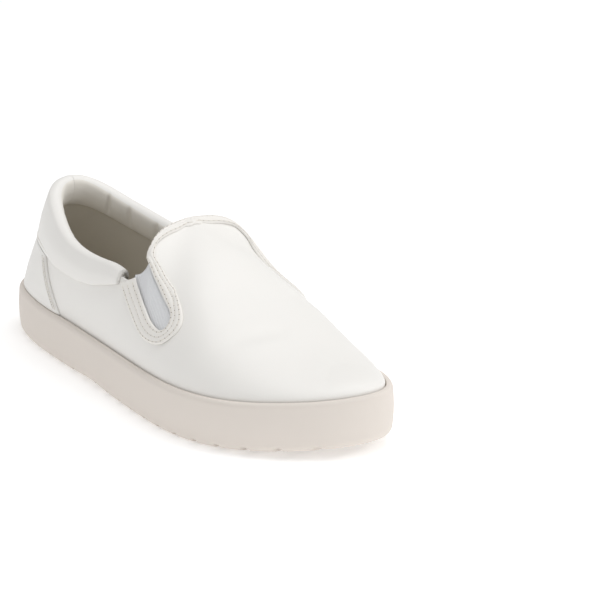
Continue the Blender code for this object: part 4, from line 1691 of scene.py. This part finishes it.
@dataclass
class Stitching:
    """Every visible row of stitches.

    Attributes:
        thread: Stitch and needle hole.
        thread_height: Half height of a stitch.
        hole_height: Half height of a needle hole's shade.
        hole_sunk: How far it lies under the stitches' line.
        samples: Points along a row.
        binding_shares: Shares across the binding and last row number of its rows.
        counter_backs: How far behind the counter's edge its rows lie.
        collar_up: How far over the collar's seam its row lies.
    """

    thread: Thread = Thread()
    thread_height: float = 0.16
    hole_height: float = 0.07
    hole_sunk: float = 0.02
    samples: int = 420
    binding_shares: tuple = ((0.17, BINDING_ROWS - 1.0), (0.5, 13.5), (0.83, BINDING_ROWS - 1.0))
    counter_backs: tuple = (2.0, 4.6)
    collar_up: float = 2.2

    def build(self) -> None:
        """Make stitches and needle holes."""
        paths = self.binding_rows() + self.counter_rows() + self.collar_rows()
        stitches = [self.thread.places(path, normal, 0.0) for path, normal in paths]
        bead = bead_grid(self.thread.length, self.thread.radius, self.thread_height)
        points, quads = beads(stitches, bead)
        show_as(place_mesh("stitches", points, quads, [THREAD_FINISH.build()]), "white_leather")
        holes = [self.thread.places(path - normal * self.hole_sunk, normal, 0.5)
                 for path, normal in paths]
        bead = bead_grid(self.thread.hole * 2, self.thread.hole, self.hole_height)
        points, quads = beads(holes, bead)
        show_as(place_mesh("needle_holes", points, quads, [HOLE_FINISH.build()]), "white_leather")

    def binding_rows(self) -> list:
        """Rows along the binding: three round each gore, two over the throat.

        Returns:
            Paths and their normals.
        """
        out = []
        for side in Side:
            for share, last in self.binding_shares:
                along = np.linspace(0.25, last, self.samples)
                across = np.full(self.samples, share)
                lift = LAYER_GAP + LEATHER * BINDING_FULL + seam_ridge(across) + 0.02
                out.append(strip_point(side, along, across, lift))
        return out

    def counter_rows(self) -> list:
        """Two rows behind the counter's front edge.

        Returns:
            Paths and their normals.
        """
        out = []
        for side in Side:
            for back in self.counter_backs:
                turns, rises = counter_place(side, back, np.linspace(0.06, 0.97, 120))
                normal = normal_at(turns, rises, side)
                lift = LAYER_GAP + LEATHER + 0.03
                out.append((surface(turns, rises, side) + normal * lift, normal))
        return out

    def collar_rows(self) -> list:
        """One row over the collar panel's lower seam.

        Returns:
            Paths and their normals.
        """
        out = []
        turns = np.linspace(0.0, COLLAR_END_TURN - 0.01, 400)
        for side in Side:
            low = rise_at_height(turns, side, seam_height(turns, side))
            rises = low + self.collar_up / column_length(turns, side)
            normal = normal_at(turns, rises, side)
            lift = LAYER_GAP + LEATHER + 0.55
            out.append((surface(turns, rises, side) + normal * lift, normal))
        return out


@dataclass(frozen=True)
class Lamp:
    """Square area light aimed at the shoe.

    Attributes:
        name: Name of the light.
        place: Its place in metres.
        size: Edge of its square in metres.
        power: Power in watts.
    """

    name: str
    place: tuple
    size: float
    power: float

    def build(self) -> None:
        """Make the light."""
        data = bpy.data.lights.new(self.name, "AREA")
        data.size = self.size
        data.energy = self.power
        lamp = bpy.data.objects.new(self.name, data)
        lamp.location = self.place
        aim = Vector(LIGHT_AIM) - Vector(self.place)
        lamp.rotation_euler = aim.to_track_quat("-Z", "Y").to_euler()
        bpy.context.scene.collection.objects.link(lamp)


LIGHT_AIM = (0.02, 0.0, 0.03)
ROOM_STRENGTH = 0.54
LAMPS = (
    Lamp("top_light", (0.10, 0.30, 1.5), 1.1, 8.4),
    Lamp("key_light", (1.25, 0.95, 1.15), 0.7, 7.6),
    Lamp("fill_light", (0.2, -1.6, 0.9), 1.4, 0.8),
)


@dataclass(frozen=True)
class Studio:
    """Floor, lights and camera.

    Attributes:
        place: Camera's place in metres.
        azimuth: Camera's turn round the shoe in degrees.
        elevation: Camera's angle above the floor in degrees.
        lens: Focal length in millimetres.
        sensor: Width of the camera's sensor in millimetres.
        pixels: Width and height of the picture.
        floor_half: Half width of the floor in metres.
        floor_white: Linear grey of the floor.
        floor_glow: Strength of its glow.
    """

    place: tuple = (1.0753, -0.7758, 0.4796)
    azimuth: float = 51.58
    elevation: float = 18.157
    lens: float = 159.16
    sensor: float = 36.0
    pixels: int = 600
    floor_half: float = 30.0
    floor_white: float = 0.93
    floor_glow: float = 0.30

    def build(self) -> None:
        """Set up the whole studio."""
        scene = bpy.context.scene
        scene.render.resolution_x = self.pixels
        scene.render.resolution_y = self.pixels
        scene.view_settings.view_transform = "Standard"
        self.floor()
        self.lights()
        self.camera()

    def floor(self) -> None:
        """A wide white floor that glows a little, so that it runs into the white room."""
        mesh = bpy.data.meshes.new("floor")
        half = self.floor_half
        ring = [(-half, -half, 0.0), (half, -half, 0.0), (half, half, 0.0), (-half, half, 0.0)]
        mesh.from_pydata(ring, [], [(0, 1, 2, 3)])
        made = bpy.data.objects.new("floor", mesh)
        look = bpy.data.materials.new("floor_white")
        look.use_nodes = True
        shader = look.node_tree.nodes["Principled BSDF"]
        shader.inputs["Base Color"].default_value = (*[self.floor_white] * 3, 1.0)
        shader.inputs["Roughness"].default_value = 0.9
        shader.inputs["Emission Color"].default_value = (1.0, 1.0, 1.0, 1.0)
        shader.inputs["Emission Strength"].default_value = self.floor_glow
        mesh.materials.append(look)
        bpy.context.scene.collection.objects.link(made)

    def lights(self) -> None:
        """Soft top light, a key from behind right and a weak fill."""
        world = bpy.data.worlds.new("room")
        world.use_nodes = True
        back = world.node_tree.nodes["Background"]
        back.inputs["Color"].default_value = (1.0, 1.0, 1.0, 1.0)
        back.inputs["Strength"].default_value = ROOM_STRENGTH
        bpy.context.scene.world = world
        for lamp in LAMPS:
            lamp.build()

    def camera(self) -> None:
        """The photograph's camera."""
        data = bpy.data.cameras.new("camera")
        data.lens = self.lens
        data.sensor_width = self.sensor
        data.clip_end = 100.0
        data.dof.use_dof = False
        made = bpy.data.objects.new("camera", data)
        turn = math.radians(self.azimuth)
        rise = math.radians(self.elevation)
        level = math.cos(rise)
        back = Vector((math.sin(turn) * level, -math.cos(turn) * level, math.sin(rise)))
        made.location = self.place
        made.rotation_euler = (-back).to_track_quat("-Z", "Y").to_euler()
        bpy.context.scene.collection.objects.link(made)
        bpy.context.scene.camera = made


def main() -> None:
    """Build every piece and the studio round them."""
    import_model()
    Cupsole().build()
    Footbed().build()
    Upper().build()
    HeelCounter().build()
    Binding().build()
    for side in Side:
        Gore(side).build()
    Collar().build()
    Stitching().build()
    Studio().build()


if __name__ == "__main__":
    main()
